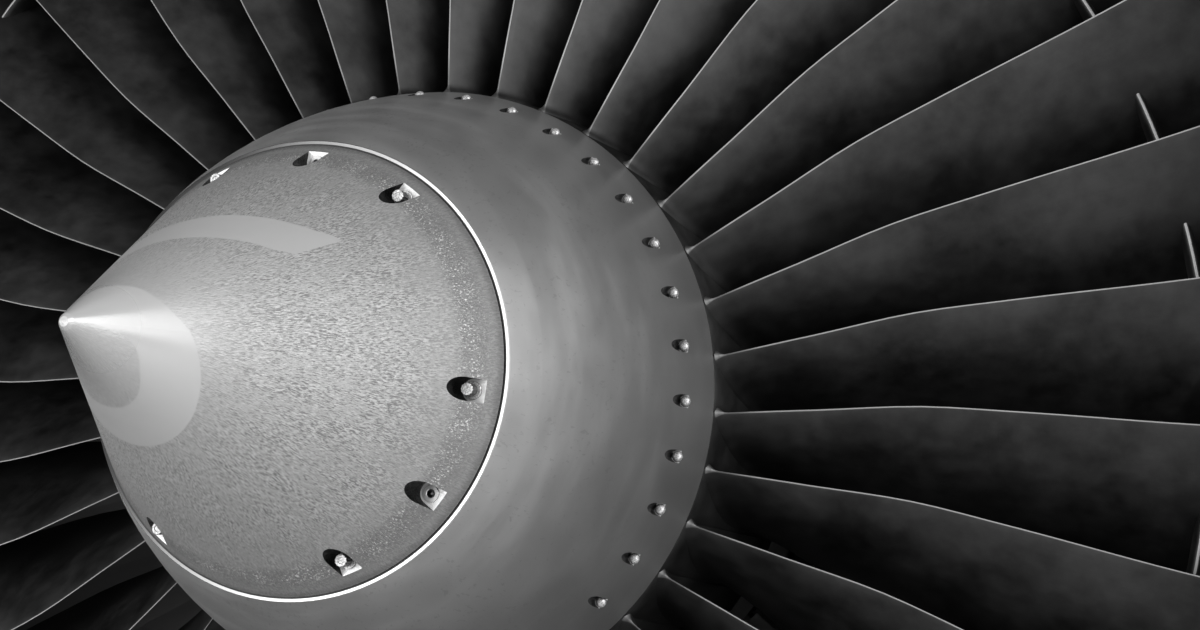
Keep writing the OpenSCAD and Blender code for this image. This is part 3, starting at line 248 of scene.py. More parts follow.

# %% [markdown]
# Deep pockets are dark because light gets lost in them, so their walls are painted near black as painted
# shade. Their faces could be picked by hand and given a material of their own, but then a change of the CAD
# would lose them. Their walls run along the shaft and their floors stand square to it, so the way a surface
# faces tells wall, floor and skin apart.

# %% Group: pocket masks
g, _, result = start_group("Pockets", {}, ["Wall", "Floor"])
facing = g.add("ShaderNodeNewGeometry", out=3)
facing = g.add("ShaderNodeSeparateXYZ", {"Vector": facing}, out=1)
wall_shade = g.smooth(g.math("ABSOLUTE", facing), 0.14, 0.08)
finish_group(g, result, {"Wall": wall_shade, "Floor": g.smooth(facing, -0.93, -0.97)})

# %% [markdown]
# A lathe leaves fine rings about the shaft. A Wave texture makes rings too, but they are all alike, as on a
# record. Rings depend on radius and station only, so the noise is read at a point made of those two. It draws
# perfect circles, some faint and some strong.

# %% Group: turning marks
g, given, result = start_group("Turning marks", {"Rings per metre": 900.0}, ["Value"])
radius, station = g.group("Place on the shaft", ["Radius", "Station"])
spot = g.add("ShaderNodeCombineXYZ", {"X": radius, "Y": g.math("MULTIPLY", station, 0.83), "Z": 0.0})
finish_group(g, result, {"Value": g.noise(spot, given["Rings per metre"], 2.0, 0.7)})

# %% [markdown]
# Paint wears through along corners. Geometry's Pointiness finds corners only where a mesh is dense, and the
# CAD meshes aren't. The Bevel node knows how the surface would bend if its corners were rounded: where that
# differs from the real surface there is a corner, and a cloud breaks it up.

# %% Group: worn edges
g, given, result = start_group("Worn edges", {"Width": 0.003, "Amount": 0.5}, ["Mask"])
rounded = g.add("ShaderNodeBevel", {"Radius": given["Width"]}, samples=3)
real = g.add("ShaderNodeNewGeometry", out=1)
likeness = g.add("ShaderNodeVectorMath", {0: rounded, 1: real}, out=1, operation="DOT_PRODUCT")
corner = g.span(likeness, 0.995, 0.90)
cloud = g.noise(g.place(), 60.0, 4.0)
mask = g.smooth(g.math("ADD", corner, g.math("MULTIPLY", cloud, 0.6)), 1.25, 1.45)
finish_group(g, result, {"Mask": g.math("MULTIPLY", mask, given["Amount"])})

# %% [markdown]
# Sprayed paint dries with a faint orange peel, and sand casting leaves a rougher grain. Modelling either
# would take millions of faces for dents of a tenth of a millimetre, so both are heights for a Bump node. One
# number goes from the one to the other.

# %% Group: paint skin
g, given, result = start_group("Paint skin", {"Cast": 0.0}, ["Height"])
orange_peel = g.noise(g.place(), 420.0, 2.0)
cast_skin = g.noise(g.place(), 900.0, 3.0, 0.7)
sprayed = g.math("MULTIPLY", orange_peel, g.math("SUBTRACT", 1.0, given["Cast"]))
cast = g.math("MULTIPLY", cast_skin, given["Cast"])
finish_group(g, result, {"Height": g.math("ADD", sprayed, cast)})

# %% [markdown]
# Hot parts turn straw, brown and grey in bands that follow the gas. A plain gradient would give straight
# bands, which no flame leaves. Here a sine wave along the shaft makes the bands and a cloud bends them, and
# each material mixes its two colours by that one number.

# %% Group: heat stain
g, given, result = start_group("Heat stain", {"From": 1.3, "To": 2.4, "Bands": 3.0}, ["Value"])
station = g.group("Place on the shaft", "Station")
along = g.span(station, given["From"], given["To"])
cloud = g.noise(g.place((1.0, 0.5, 1.0)), 5.0, 4.0)
wave = g.math("SINE", g.math("MULTIPLY", g.math("ADD", along, g.math("MULTIPLY", cloud, 0.35)),
                             g.math("MULTIPLY", given["Bands"], math.tau)))
finish_group(g, result, {"Value": g.math("MULTIPLY_ADD", wave, 0.5, 0.5)})

# %% [markdown]
# ## Finishes
# Every finish gets one function call that starts it: a material with a Principled shader and its own helper.
# Nodes could drive every one of the shader's inputs, but what stays the same all over is easier to find and
# to change on the shader itself, so only what varies over the surface is linked.


# %% Start a finish
def start_finish(name, metallic, roughness):
    """A new material. Returns it, a helper for its nodes and the shader's inputs."""
    material = bpy.data.materials.new(name)
    material.use_nodes = True
    tree = material.node_tree
    shader = next(n for n in tree.nodes if n.type == "BSDF_PRINCIPLED")
    shader.location = (13 * STEP_RIGHT, 0)
    tree.nodes["Material Output"].location = (15 * STEP_RIGHT, 0)
    shader.inputs["Metallic"].default_value = metallic
    shader.inputs["Roughness"].default_value = roughness
    print("finish", name)
    return material, Graph(tree), shader.inputs


def connect(graph, targets, **sockets):
    """Links each socket to the shader's input of that name, with _ for each space."""
    for label, socket in sockets.items():
        graph.tree.links.new(socket, targets[label.replace("_", " ")])


def bump(graph, height, distance, strength=1.0):
    """A Bump node's normal. distance is the height in metres of a full step."""
    return graph.add("ShaderNodeBump", {"Height": height, "Distance": distance, "Strength": strength})


# %% [markdown]
# ### The front cone
# The cone is coated metal. Four things show on it: short erosion flecks over most of it, a smooth swirl that
# starts at the nose and ends in a comma's tail, a ring of fine bright chips near the bolts, and a quiet dark
# band beside the joint. A swirl like this is common on spinners, because it shows from afar that the fan is
# turning. It could be a thin piece laid on the cone, but it is only a coating and has no thickness to see.
# Its edges are curves of radius against angle, so Float Curve nodes draw it, sharp at any distance.

# %% The swirl's edges
RIM_R = 260.0
SWIRL_OUT = [(0, 0.160), (15, 0.173), (41, 0.199), (74, 0.232), (106, 0.255), (128, 0.266), (256, 0.311),
             (284, 0.342), (298, 0.367), (311, 0.396), (319, 0.420), (360, 0.420)]
SWIRL_IN = [(0, 0.040), (6, 0.052), (18, 0.085), (50, 0.120), (80, 0.154), (109, 0.174), (273, 0.248),
            (294, 0.276), (304, 0.297), (314, 0.319), (319, 0.338), (360, 0.338)]
SWIRL_START = [(0, 0.0), (170, 0.0), (250, 0.075), (300, 0.112), (343, 0.140), (360, 0.160)]


def edge_curve(graph, angle, points):
    """Radius of an edge, in rim radii, at each angle from 0 to 1."""
    made = graph.add("ShaderNodeFloatCurve", {"Value": angle}).node
    curve = made.mapping.curves[0]
    for at, level in points[1:-1]:
        curve.points.new(at / 360.0, level)
    curve.points[0].location = (0.0, points[0][1])
    curve.points[-1].location = (1.0, points[-1][1])
    made.mapping.update()
    return made.outputs[0]


g, _, result = start_group("Swirl", {}, ["Mask"])
radius, angle = g.group("Place on the shaft", ["Radius", "Angle"])
share = g.math("DIVIDE", radius, RIM_R * MM)
angle = g.math("SUBTRACT", 1.0, angle)
SWIRL_SOFT = 0.0015
SWIRL_END = 318.9 / 360.0


def inside(graph, share, edge):
    """1 where share is under the edge."""
    step = graph.math("SUBTRACT", edge, share)
    return graph.smooth(step, -SWIRL_SOFT, SWIRL_SOFT)


body = g.math("MULTIPLY", inside(g, share, edge_curve(g, angle, SWIRL_OUT)),
              g.math("SUBTRACT", 1.0, inside(g, share, edge_curve(g, angle, SWIRL_IN))))
body = g.math("MULTIPLY", body, g.math("LESS_THAN", angle, SWIRL_END))
head = inside(g, share, edge_curve(g, angle, SWIRL_START))
finish_group(g, result, {"Mask": g.math("MAXIMUM", body, head)})

# %% Finish of the front cone
JOINT_R = 162.5
front_coat, g, shader = start_finish("front cone coating", 0.55, 0.45)
radius = g.group("Place on the shaft", "Radius")
swirl = g.group("Swirl", "Mask")
cloud = g.group("Mottle", "Value", Scale=9.0, Contrast=1.2)
share = g.math("DIVIDE", radius, JOINT_R * MM)
band = g.smooth(share, 0.915, 0.955)
nose = g.smooth(share, 0.30, 0.10)
bare = g.math("SUBTRACT", 1.0, swirl)
worn = g.math("MULTIPLY", bare, g.smooth(share, 0.16, 0.50, 0.2, 1.0))
worn = g.math("MULTIPLY", worn, g.smooth(share, 0.72, 0.84, 1.0, 0.55))
dark, light, height = g.group("Erosion flecks", ["Dark", "Light", "Height"],
                              Around=165.0, Along=300.0, Cover=0.8)
chips, chip_height = g.group("Erosion flecks", ["Light", "Height"],
                             Around=150.0, Along=600.0, Cover=0.45)
chip_zone = g.math("MULTIPLY", g.smooth(share, 0.86, 0.90), g.smooth(share, 0.985, 0.93))
wall_shade, floor_mask = g.group("Pockets", ["Wall", "Floor"])
colour = g.mix(cloud, grey(0.49), grey(0.60))
colour = g.mix(g.smooth(share, 0.45, 1.0, 0.0, 0.45), colour, grey(0.28))
colour = g.mix(g.math("MULTIPLY", dark, g.math("MULTIPLY", worn, 0.7)), colour, grey(0.17))
colour = g.mix(g.math("MULTIPLY", light, g.math("MULTIPLY", worn, 0.6)), colour, grey(0.80))
colour = g.mix(g.math("MULTIPLY", chip_zone, 0.45), colour, grey(0.16))
colour = g.mix(g.math("MULTIPLY", chips, chip_zone), colour, grey(0.90))
colour = g.mix(swirl, colour, g.mix(cloud, grey(0.54), grey(0.60)))
colour = g.mix(g.math("MULTIPLY", band, 0.5), colour, grey(0.26))
colour = g.mix(g.smooth(share, 0.97, 1.0, 0.0, 0.5), colour, grey(0.06))
colour = g.mix(floor_mask, colour, grey(0.95))
# Painted shade: the walls of the bolt pockets are near black.
colour = g.mix(wall_shade, colour, grey(0.004))
metal = g.math("MAXIMUM", g.math("MULTIPLY_ADD", bare, 0.15, 0.35), wall_shade)
rough = g.math("MULTIPLY_ADD", dark, g.math("MULTIPLY", worn, 0.2), 0.40)
rough = g.math("MULTIPLY_ADD", nose, -0.16, rough)
height = g.math("MULTIPLY", height, worn)
height = g.math("ADD", height, g.math("MULTIPLY", chip_height, chip_zone))
connect(g, shader, Base_Color=colour, Metallic=metal, Roughness=rough, Normal=bump(g, height, 0.0006, 0.9))

# %% [markdown]
# ### The rear cone
# The rear cone has a darker, smoother coating with a soft gloss, so it picks up faint lines from the blades.
# Its colour darkens towards the rim as painted shade. Its front lip is bare, with a painted highlight on one
# side and painted shade on the far side. The floors of the small pockets are bright too, and their walls are
# dark with painted shade. A mask for each could be painted, but numbers are exact: the lip is found by its
# station on the shaft, the seam inside it by its radius, and the floors by the way they face, straight to the
# front. The CAD cone is turned with eight straight cuts along a curve. Each cut misses a low arch of metal,
# and a bump of that height brings it back, so the light runs smoothly.

# %% Finish of the rear cone
LIP_END = 30.9
LIP_IN = 164.0
JOINT_Y = 29.0
CUT_LEN = 211.0 / 8
# Four times the height of an arch, in metres
ARCH_H = 0.00048
# The side of the lip that gets the painted highlight; the far side gets painted shade
LIP_LIT_SIDE = (0.93, 0.0, -0.37)
rear_coat, g, shader = start_finish("rear cone coating", 0.9, 0.38)
radius, station = g.group("Place on the shaft", ["Radius", "Station"])
cloud = g.group("Mottle", "Value", Scale=7.0, Contrast=1.5)
smear = g.noise(g.place((1.0, 4.0, 1.0)), 9.0, 4.0)
specks = g.group("Erosion flecks", "Light", Around=60.0, Along=200.0, Cover=0.1)
wall_shade, floor_mask = g.group("Pockets", ["Wall", "Floor"])
lip = g.smooth(station, (LIP_END + 0.1) * MM, (LIP_END - 0.1) * MM)
seam = g.math("MULTIPLY", lip, g.smooth(radius, LIP_IN * MM, (LIP_IN - 0.2) * MM))
side = g.add("ShaderNodeVectorMath", {0: g.place(), 1: LIP_LIT_SIDE}, out=1, operation="DOT_PRODUCT")
lip_highlight = g.smooth(g.math("DIVIDE", side, radius), -0.8, 1.0)
colour = g.mix(cloud, grey(0.69), grey(0.83))
colour = g.mix(g.smooth(smear, 0.45, 0.75), colour, grey(0.84))
# Painted shade: the coating darkens towards the rim.
colour = g.mix(g.smooth(station, 0.08, 0.235, 0.0, 0.5), colour, grey(0.36))
colour = g.mix(g.math("MULTIPLY", specks, 0.5), colour, grey(0.6))
# Painted highlight and shade: the lip is bright on its lit side and near black on the far side.
colour = g.mix(lip, colour, g.mix(lip_highlight, grey(0.02), grey(0.92)))
colour = g.mix(seam, colour, grey(0.03))
colour = g.mix(floor_mask, colour, g.mix(lip, grey(0.88), colour))
# Painted shade: the walls of the balance screw pockets are dark.
colour = g.mix(wall_shade, colour, grey(0.03))
rough = g.math("MULTIPLY_ADD", smear, 0.16, 0.30)
rough = g.math("MULTIPLY_ADD", g.math("SUBTRACT", cloud, 0.5), 0.14, rough)
at_cut = g.math("FRACT", g.math("DIVIDE", g.math("SUBTRACT", station, JOINT_Y * MM), CUT_LEN * MM))
arch = g.math("MULTIPLY", at_cut, g.math("SUBTRACT", 1.0, at_cut))
height = g.math("MULTIPLY_ADD", specks, 0.00002, g.math("MULTIPLY", arch, ARCH_H))
connect(g, shader, Base_Color=colour, Roughness=rough, Normal=bump(g, height, 1.0))

# %% [markdown]
# ### The fan blades
# Forged titanium with the smudges of many hands. Its colour is kept far darker than bare titanium, as painted
# shade from the dark surroundings. The leading edge is dressed bright and blasted by sand, so it shows as a
# thin light line. A blade twists, so its edge can't be found from a point's place in space. The blade mesh
# therefore carries a UV map with the chord's share in U and the span's share in V, which makes such a line
# one soft step.

# %% Finish of the blades
blade_metal, g, shader = start_finish("fan blade titanium", 1.0, 0.36)
uv = g.add("ShaderNodeUVMap", uv_map="chord and span")
split = g.add("ShaderNodeSeparateXYZ", {"Vector": uv}).node
chord, span = split.outputs[0], split.outputs[1]
smudge = g.group("Mottle", "Value", Scale=13.0, Contrast=2.8)
grain = g.noise(g.add("ShaderNodeCombineXYZ", {"X": g.math("MULTIPLY", chord, 260.0),
                                               "Y": g.math("MULTIPLY", span, 14.0), "Z": 0.0}), 1.0, 3.0)
streak = g.noise(g.add("ShaderNodeCombineXYZ", {"X": g.math("MULTIPLY", chord, 3.0),
                                                "Y": g.math("MULTIPLY", span, 9.0), "Z": 0.0}), 1.0, 4.0)
edge = g.math("MULTIPLY", g.smooth(chord, 0.006, 0.003), g.smooth(span, 0.02, 0.07, 0.3, 1.0))
# Painted shade: the titanium's colour is kept very dark.
colour = g.mix(smudge, grey(0.038), grey(0.098))
colour = g.mix(g.math("MULTIPLY", g.smooth(streak, 0.5, 0.75), 0.5), colour, grey(0.06))
colour = g.mix(edge, colour, grey(0.40))
rough = g.math("MULTIPLY_ADD", grain, 0.12, 0.42)
rough = g.math("MULTIPLY_ADD", smudge, 0.16, rough)
connect(g, shader, Base_Color=colour, Roughness=rough, Normal=bump(g, grain, 0.00003, 0.4))

# %% [markdown]
# ### Bare metal, steel and the rest
# The other finishes are variations on a few themes. Each could be a copy of another with changed numbers, but
# then a change would have to be made in all of them, so small functions make them. Turned metal gets rings
# and stains, paint gets worn corners, and castings get a rough skin.


# %% Turned and ground metals
def turned_metal(name, dull, bright, roughness, rings, warm=0.0):
    """Machined metal with rings about the shaft and soft stains."""
    material, g, shader = start_finish(name, 1.0, roughness)
    marks = g.group("Turning marks", "Value", Rings_per_metre=rings)
    cloud = g.group("Mottle", "Value", Scale=14.0, Contrast=1.3)
    colour = g.mix(cloud, grey(dull, warm), grey(bright, warm))
    rough = g.math("MULTIPLY_ADD", marks, 0.2, roughness - 0.1)
    rough = g.math("MULTIPLY_ADD", cloud, 0.1, rough)
    connect(g, shader, Base_Color=colour, Roughness=rough, Normal=bump(g, marks, 0.00004, 0.5))
    return material


finishes = {
    "cone_coating": front_coat,
    "rear_cone_coating": rear_coat,
    "blade_titanium": blade_metal,
    "rotor_steel": turned_metal("rotor steel", 0.26, 0.36, 0.36, 700.0),
    "bearing_steel": turned_metal("bearing steel", 0.62, 0.74, 0.22, 1200.0),
    "case_steel": turned_metal("case steel", 0.36, 0.48, 0.40, 500.0, 0.02),
    "pipe_steel": turned_metal("pipe steel", 0.50, 0.62, 0.28, 300.0),
}


# %% [markdown]
# The bolts are bare on top, where the wrench and the sand polish them. Their sides are painted dark as
# painted shade in the pocket, and the mask that finds the walls of the pockets finds these sides as well, so
# the small meshes need no second material. The bores of the inserts are painted near black as painted shade
# for the same reason, and their collars are left as turned.

# %% Bolt and insert steel
bolt_steel, g, shader = start_finish("bare bolt steel", 0.55, 0.36)
shaded_sides = g.group("Pockets", "Wall")
marks = g.group("Turning marks", "Value", Rings_per_metre=1500.0)
cloud = g.noise(g.place(), 900.0, 3.0)
colour = g.mix(g.smooth(cloud, 0.35, 0.62), grey(0.30), grey(0.72))
# Painted shade: the sides of the bolt heads are dark.
colour = g.mix(shaded_sides, colour, grey(0.07))
rough = g.math("MULTIPLY_ADD", marks, 0.2, 0.28)
connect(g, shader, Base_Color=colour, Roughness=rough, Normal=bump(g, cloud, 0.0003, 0.6))
finishes["bare_bolts"] = bolt_steel

insert_steel, g, shader = start_finish("insert steel", 0.6, 0.40)
shaded_sides = g.group("Pockets", "Wall")
marks = g.group("Turning marks", "Value", Rings_per_metre=1500.0)
# Painted shade: the bores of the inserts are near black.
colour = g.mix(shaded_sides, g.mix(marks, grey(0.50), grey(0.68)), grey(0.01))
connect(g, shader, Base_Color=colour, Roughness=g.math("MULTIPLY_ADD", marks, 0.2, 0.30))
finishes["insert_steel"] = insert_steel

# %% [markdown]
# The cases, the oil tank and the accessories are painted, and the gearboxes are sealed castings. A painted
# image for each would need its own UV map. One function makes all five from four numbers instead: how light,
# how rough and how worn the paint is, and how coarse a casting lies under it.


# %% Paint over metal
def worn_paint(name, level, roughness, wear, skin=0.0):
    """Paint with dirt in soft clouds and bare metal along its corners. skin 1 is a rough casting."""
    material, g, shader = start_finish(name, 0.0, roughness)
    cloud = g.group("Mottle", "Value", Scale=7.0, Contrast=1.8)
    corner = g.group("Worn edges", "Mask", Width=0.003, Amount=wear)
    height = g.group("Paint skin", "Height", Cast=skin)
    colour = g.mix(cloud, grey(level * 0.82), grey(level * 1.06))
    colour = g.mix(corner, colour, grey(0.62))
    rough = g.math("MULTIPLY_ADD", cloud, 0.16, roughness - 0.08)
    connect(g, shader, Base_Color=colour, Metallic=corner, Roughness=rough,
            Normal=bump(g, height, 0.00012 + 0.0004 * skin, 0.5))
    return material


finishes["case_paint"] = worn_paint("grey case paint", 0.40, 0.38, 0.5)
finishes["gearbox_casting"] = worn_paint("gearbox casting", 0.46, 0.50, 0.6, 1.0)
finishes["accessory_metal"] = worn_paint("accessory paint", 0.14, 0.40, 0.7, 0.3)
finishes["tank_paint"] = worn_paint("tank paint", 0.52, 0.36, 0.5)
finishes["unit_paint"] = worn_paint("control unit paint", 0.045, 0.48, 0.7, 0.2)


# %% [markdown]
# Hot parts carry their history: straw near the flame, brown and grey further back. Two colours for each part
# by hand would do, but then neighbours wouldn't match. One function reads the stain along the whole engine,
# so its bands run on from one part to the next.

# %% Hot metals
def hot_metal(name, roughness, start, end, bands):
    """Metal that heat has stained from station start to station end, in metres."""
    material, g, shader = start_finish(name, 1.0, roughness)
    stain = g.group("Heat stain", "Value", From=start, To=end, Bands=bands)
    cloud = g.group("Mottle", "Value", Scale=12.0, Contrast=1.5)
    marks = g.group("Turning marks", "Value", Rings_per_metre=500.0)
    colour = g.mix(stain, (0.34, 0.27, 0.20, 1.0), (0.30, 0.29, 0.29, 1.0))
    colour = g.mix(g.math("MULTIPLY", cloud, 0.6), colour, (0.16, 0.13, 0.115, 1.0))
    rough = g.math("MULTIPLY_ADD", cloud, 0.22, roughness - 0.1)
    connect(g, shader, Base_Color=colour, Roughness=rough, Normal=bump(g, marks, 0.00005, 0.5))
    return material


finishes["hot_alloy"] = hot_metal("hot section alloy", 0.42, 1.40, 2.05, 4.0)
finishes["hot_case"] = hot_metal("heat stained sheet", 0.38, 1.50, 2.60, 2.5)

# %% [markdown]
# The fan case is lined with panels whose skin has thousands of small holes, which swallow noise. Cut into the
# mesh they would make it hundreds of times heavier, for holes of three millimetres. A grid of dots in angle
# and station makes them instead, sunk by a bump and painted near black as painted shade for the hollow behind
# each hole. The ring over the blade tips has none: it is a rubbed grey filler with fine circles where the
# tips have touched.

# %% Linings
liner, g, shader = start_finish("perforated lining", 0.0, 0.55)
LINER_R = 0.8685
HOLE_PITCH = 0.006
HOLES_ROUND = float(round(math.tau * LINER_R / HOLE_PITCH))
# Rows stand closer than holes in a row, and every other row is shifted by half a pitch
ROW_PITCH = HOLE_PITCH * 0.866
# An even number of rows that keeps the count of rows over 0 in front of the fan
ROWS_AHEAD = 400.0
station, angle = g.group("Place on the shaft", ["Station", "Angle"])
row = g.math("ADD", g.math("DIVIDE", station, ROW_PITCH), ROWS_AHEAD)
shift = g.math("MULTIPLY", g.math("FLOOR", g.math("MODULO", row, 2.0)), 0.5)
across = g.math("SUBTRACT", g.math("FRACT", g.math("MULTIPLY_ADD", angle, HOLES_ROUND, shift)), 0.5)
along = g.math("SUBTRACT", g.math("FRACT", row), 0.5)
away = g.math("SQRT", g.math("ADD", g.math("MULTIPLY", across, across), g.math("MULTIPLY", along, along)))
hole = g.smooth(away, 0.27, 0.19)
cloud = g.group("Mottle", "Value", Scale=6.0, Contrast=1.6)
# Painted shade: each hole is a near-black dot.
colour = g.mix(hole, g.mix(cloud, grey(0.10), grey(0.15)), grey(0.01))
connect(g, shader, Base_Color=colour, Roughness=g.math("MULTIPLY_ADD", cloud, 0.2, 0.42),
        Normal=bump(g, g.math("MULTIPLY", hole, -1.0), 0.0006, 0.8))
finishes["liner_composite"] = liner

rubbed, g, shader = start_finish("rubbed tip ring", 0.0, 0.7)
marks = g.group("Turning marks", "Value", Rings_per_metre=350.0)
cloud = g.group("Mottle", "Value", Scale=5.0, Contrast=1.5)
colour = g.mix(marks, g.mix(cloud, grey(0.15), grey(0.20)), grey(0.26))
connect(g, shader, Base_Color=colour, Normal=bump(g, marks, 0.0002, 0.6))
finishes["abradable"] = rubbed
print("finishes:", len(finishes))

# %% [markdown]
# Each node of the CAD names the finish that it wants, so a loop hands them out. Choosing them one by one
# would work as well, but a node added later would then be forgotten.

# %% Give each CAD node its finish
slot_of = {part["node"]: part["material_slot"] for part in frame["record"]["subparts"]}
for node, slot in slot_of.items():
    shown = frame["nodes"][node]
    shown.data.materials.clear()
    shown.data.materials.append(finishes[slot])
print("CAD nodes with a finish:", len(slot_of))

# %% [markdown]
# ## The fan blades
# A fan blade twists and curves as it goes out, so no box or sphere helps. It is lofted: the section at each
# radius has its own chord, lean, camber and thickness, and the table below holds them at seven heights. The
# CAD blade joins few points with flat faces. Here a smooth curve runs through the same table, and each
# section has forty points that crowd together at the nose, where the edge has to look round.

# %% Numbers of the blade
BLADES = 36
TIP_R = 866.5
STACK_Y = 320.0
PLATFORM_Y0, PLATFORM_Y1 = 241.0, 411.0
PLATFORM_T = 6.0
HUB_SLOPE = math.tan(math.radians(11.0))
HALF_PITCH = math.pi / BLADES
BLADE_GAP = 0.4
FLAT_FROM_R = 340.0
SHROUD_R, SHROUD_T = 632.0, 10.0
# Height on the span, then chord, lean, camber and greatest thickness of the section there
PLAN = np.array([
    (0.00, 150, 12, 36, 14.0),
    (0.15, 156, 27, 32, 12.0),
    (0.26, 166, 36, 27, 10.5),
    (0.39, 174, 41, 22, 9.0),
    (0.60, 186, 47, 15, 7.5),
    (0.77, 197, 54, 9, 6.0),
    (1.00, 207, 62, 4, 4.0),
])
print("blades:", BLADES, "from radius", RIM_R, "to", TIP_R, "mm, with", len(PLAN), "stations")


def plan_at(span, column):
    """A smooth curve through one column of the plan."""
    heights, values = PLAN[:, 0], PLAN[:, column]
    slopes = np.gradient(values, heights)
    k = int(np.clip(np.searchsorted(heights, span) - 1, 0, len(heights) - 2))
    step = heights[k + 1] - heights[k]
    t = (span - heights[k]) / step
    start = (1 + 2 * t) * (1 - t) ** 2 * values[k] + t * (1 - t) ** 2 * step * slopes[k]
    end = t * t * (3 - 2 * t) * values[k + 1] + t * t * (t - 1) * step * slopes[k + 1]
    return start + end


# %% [markdown]
# A section is what a saw would show if it cut the blade at one radius. Measured points would do, but they
# couldn't follow the table. So its middle line is an arc, and its thickness is a power of that arc, largest
# half way along. The power 0.5 would give an ellipse, and 0.6 gives a slightly finer nose and tail.

# %% One section of the blade
HALF_POINTS = 20
THICKNESS_POWER = 0.6
even = np.arange(HALF_POINTS + 1) / HALF_POINTS
shares = (0.5 - 0.5 * np.cos(np.pi * even)) ** (1.5 - 0.5 * even)
RING_SHARES = np.concatenate([shares, shares[-2:0:-1]])
RING_SIDES = np.concatenate([np.ones(HALF_POINTS + 1), -np.ones(HALF_POINTS - 1)])
print("points round a section:", len(RING_SHARES))


def section(radius):
    """Points round the blade at that radius: distance across the fan, and station."""
    span = (radius - RIM_R) / (TIP_R - RIM_R)
    chord, lean, camber, thick = (plan_at(span, column) for column in (1, 2, 3, 4))
    lean = math.radians(lean)
    arc = np.clip(4 * RING_SHARES * (1 - RING_SHARES), 0.0, 1.0)
    rise = chord / 2 * math.tan(math.radians(camber) / 4)
    along = (RING_SHARES - 0.5) * chord
    out = rise * (arc - 0.4) + RING_SIDES * thick / 2 * arc ** THICKNESS_POWER
    across = along * math.sin(lean) + out * math.cos(lean)
    station = STACK_Y + along * math.cos(lean) - out * math.sin(lean)
    return across, station


def hub_r(station):
    return RIM_R + (station - PLATFORM_Y0) * HUB_SLOPE


def wrapped(across, station, radius):
    """Bends points that lie across the fan round the shaft. The blade stands along +X."""
    bend = across / radius
    return np.stack([radius * np.cos(bend), station, -radius * np.sin(bend)], axis=-1)


# %% [markdown]
# A mesh of rings is all this blade needs, so one helper joins rings into a closed skin. Blender's Bridge Edge
# Loops tool does that too, but it guesses which points belong together. Here they are in the same order in
# every ring. The foot of the foil flares into the platform in a small fillet. A Bevel modifier would need a
# clean joint there, so each point moves outward from the section instead, by an amount that fades over a few
# millimetres.


# %% Skin from rings
class Mesher:
    """Gathers points, faces and UV values of one piece."""

    def __init__(self):
        self.points, self.faces, self.uv = [], [], []
        self.total = 0

    def skin(self, rings, uv):
        """Joins rings of as many points each, and closes both ends. uv has a pair for each point."""
        rings, uv = np.asarray(rings, float), np.asarray(uv, float)
        levels, n = rings.shape[:2]
        first = self.total
        self.points.append(rings.reshape(-1, 3))
        self.uv.append(uv.reshape(-1, 2))
        self.total += levels * n
        for k in range(levels - 1):
            for i in range(n):
                j = (i + 1) % n
                a = first + k * n
                self.faces.append((a + i, a + j, a + n + j, a + n + i))
        self.faces.append(tuple(first + i for i in reversed(range(n))))
        self.faces.append(tuple(first + (levels - 1) * n + i for i in range(n)))

    def build(self, name, copies):
        """Makes the object, with that many copies evenly round the shaft in one mesh."""
        points, uv = np.concatenate(self.points) * MM, np.concatenate(self.uv)
        spots, faces = [], []
        for c in range(copies):
            a = math.tau * c / copies
            x, z = points[:, 0], points[:, 2]
            spots.append(np.stack([x * math.cos(a) - z * math.sin(a), points[:, 1],
                                   x * math.sin(a) + z * math.cos(a)], axis=-1))
            faces.extend(tuple(i + c * self.total for i in face) for face in self.faces)
        mesh = bpy.data.meshes.new(name)
        mesh.from_pydata(np.concatenate(spots).tolist(), [], faces)
        layer = mesh.uv_layers.new(name="chord and span")
        corners = np.empty(len(mesh.loops), dtype=np.int32)
        mesh.loops.foreach_get("vertex_index", corners)
        layer.data.foreach_set("uv", np.tile(uv, (copies, 1))[corners].astype(np.float32).ravel())
        mesh.update()
        made = bpy.data.objects.new(name, mesh)
        bpy.context.scene.collection.objects.link(made)
        return made


def smooth_faces(piece, corner_deg):
    """Soft shading, with a sharp line where faces meet at more than that angle."""
    piece.data.polygons.foreach_set("use_smooth", [True] * len(piece.data.polygons))
    piece.data.set_sharp_from_angle(angle=math.radians(corner_deg))


# %% The foil with its fillet
FILLET_H, FILLET_OUT = 8.0, 4.5
ROOT_STEPS = [0.0, 0.02, 0.04, 0.06, 0.09, 0.13, 0.2, 0.32, 0.45, 0.6, 0.75, 0.9]
blade = Mesher()


def pushed_out(across, station, amount):
    """Moves the points of a section outward, each by its own amount."""
    tangent = np.stack([np.roll(across, -1) - np.roll(across, 1),
                        np.roll(station, -1) - np.roll(station, 1)], axis=-1)
    tangent /= np.linalg.norm(tangent, axis=1, keepdims=True)
    return across + tangent[:, 1] * amount, station - tangent[:, 0] * amount


def foil_rings():
    rings, uv = [], []
    for t in ROOT_STEPS:
        across, station = section((1 - t) * (RIM_R + 8) + t * FLAT_FROM_R)
        radius = (1 - t) * (hub_r(station) - 1) + t * FLAT_FROM_R
        height = np.clip(1 - (radius - hub_r(station)) / FILLET_H, 0.0, 1.0)
        across, station = pushed_out(across, station, FILLET_OUT * height ** 2)
        rings.append(wrapped(across, station, radius))
        uv.append(np.stack([RING_SHARES, (radius - RIM_R) / (TIP_R - RIM_R)], axis=-1))
    for radius in np.linspace(FLAT_FROM_R, TIP_R, 27):
        across, station = section(radius)
        rings.append(wrapped(across, station, radius))
        height = np.full(len(across), (radius - RIM_R) / (TIP_R - RIM_R))
        uv.append(np.stack([RING_SHARES, height], axis=-1))
    return rings, uv


blade.skin(*foil_rings())
print("points in one foil:", blade.total)

# %% [markdown]
# At three fifths of its span each blade has a wing to either side. It meets the neighbour's wing face to
# face, so that the whole fan braces itself. A bent box would do from afar, but its edges would be too sharp
# up close. So the wing is made of rings as well: its section is a flat lens that is rounded at both ends.

# %% The shroud wings
WING_POINTS = 24
WING_FROM, WING_TO = 0.35, 0.65


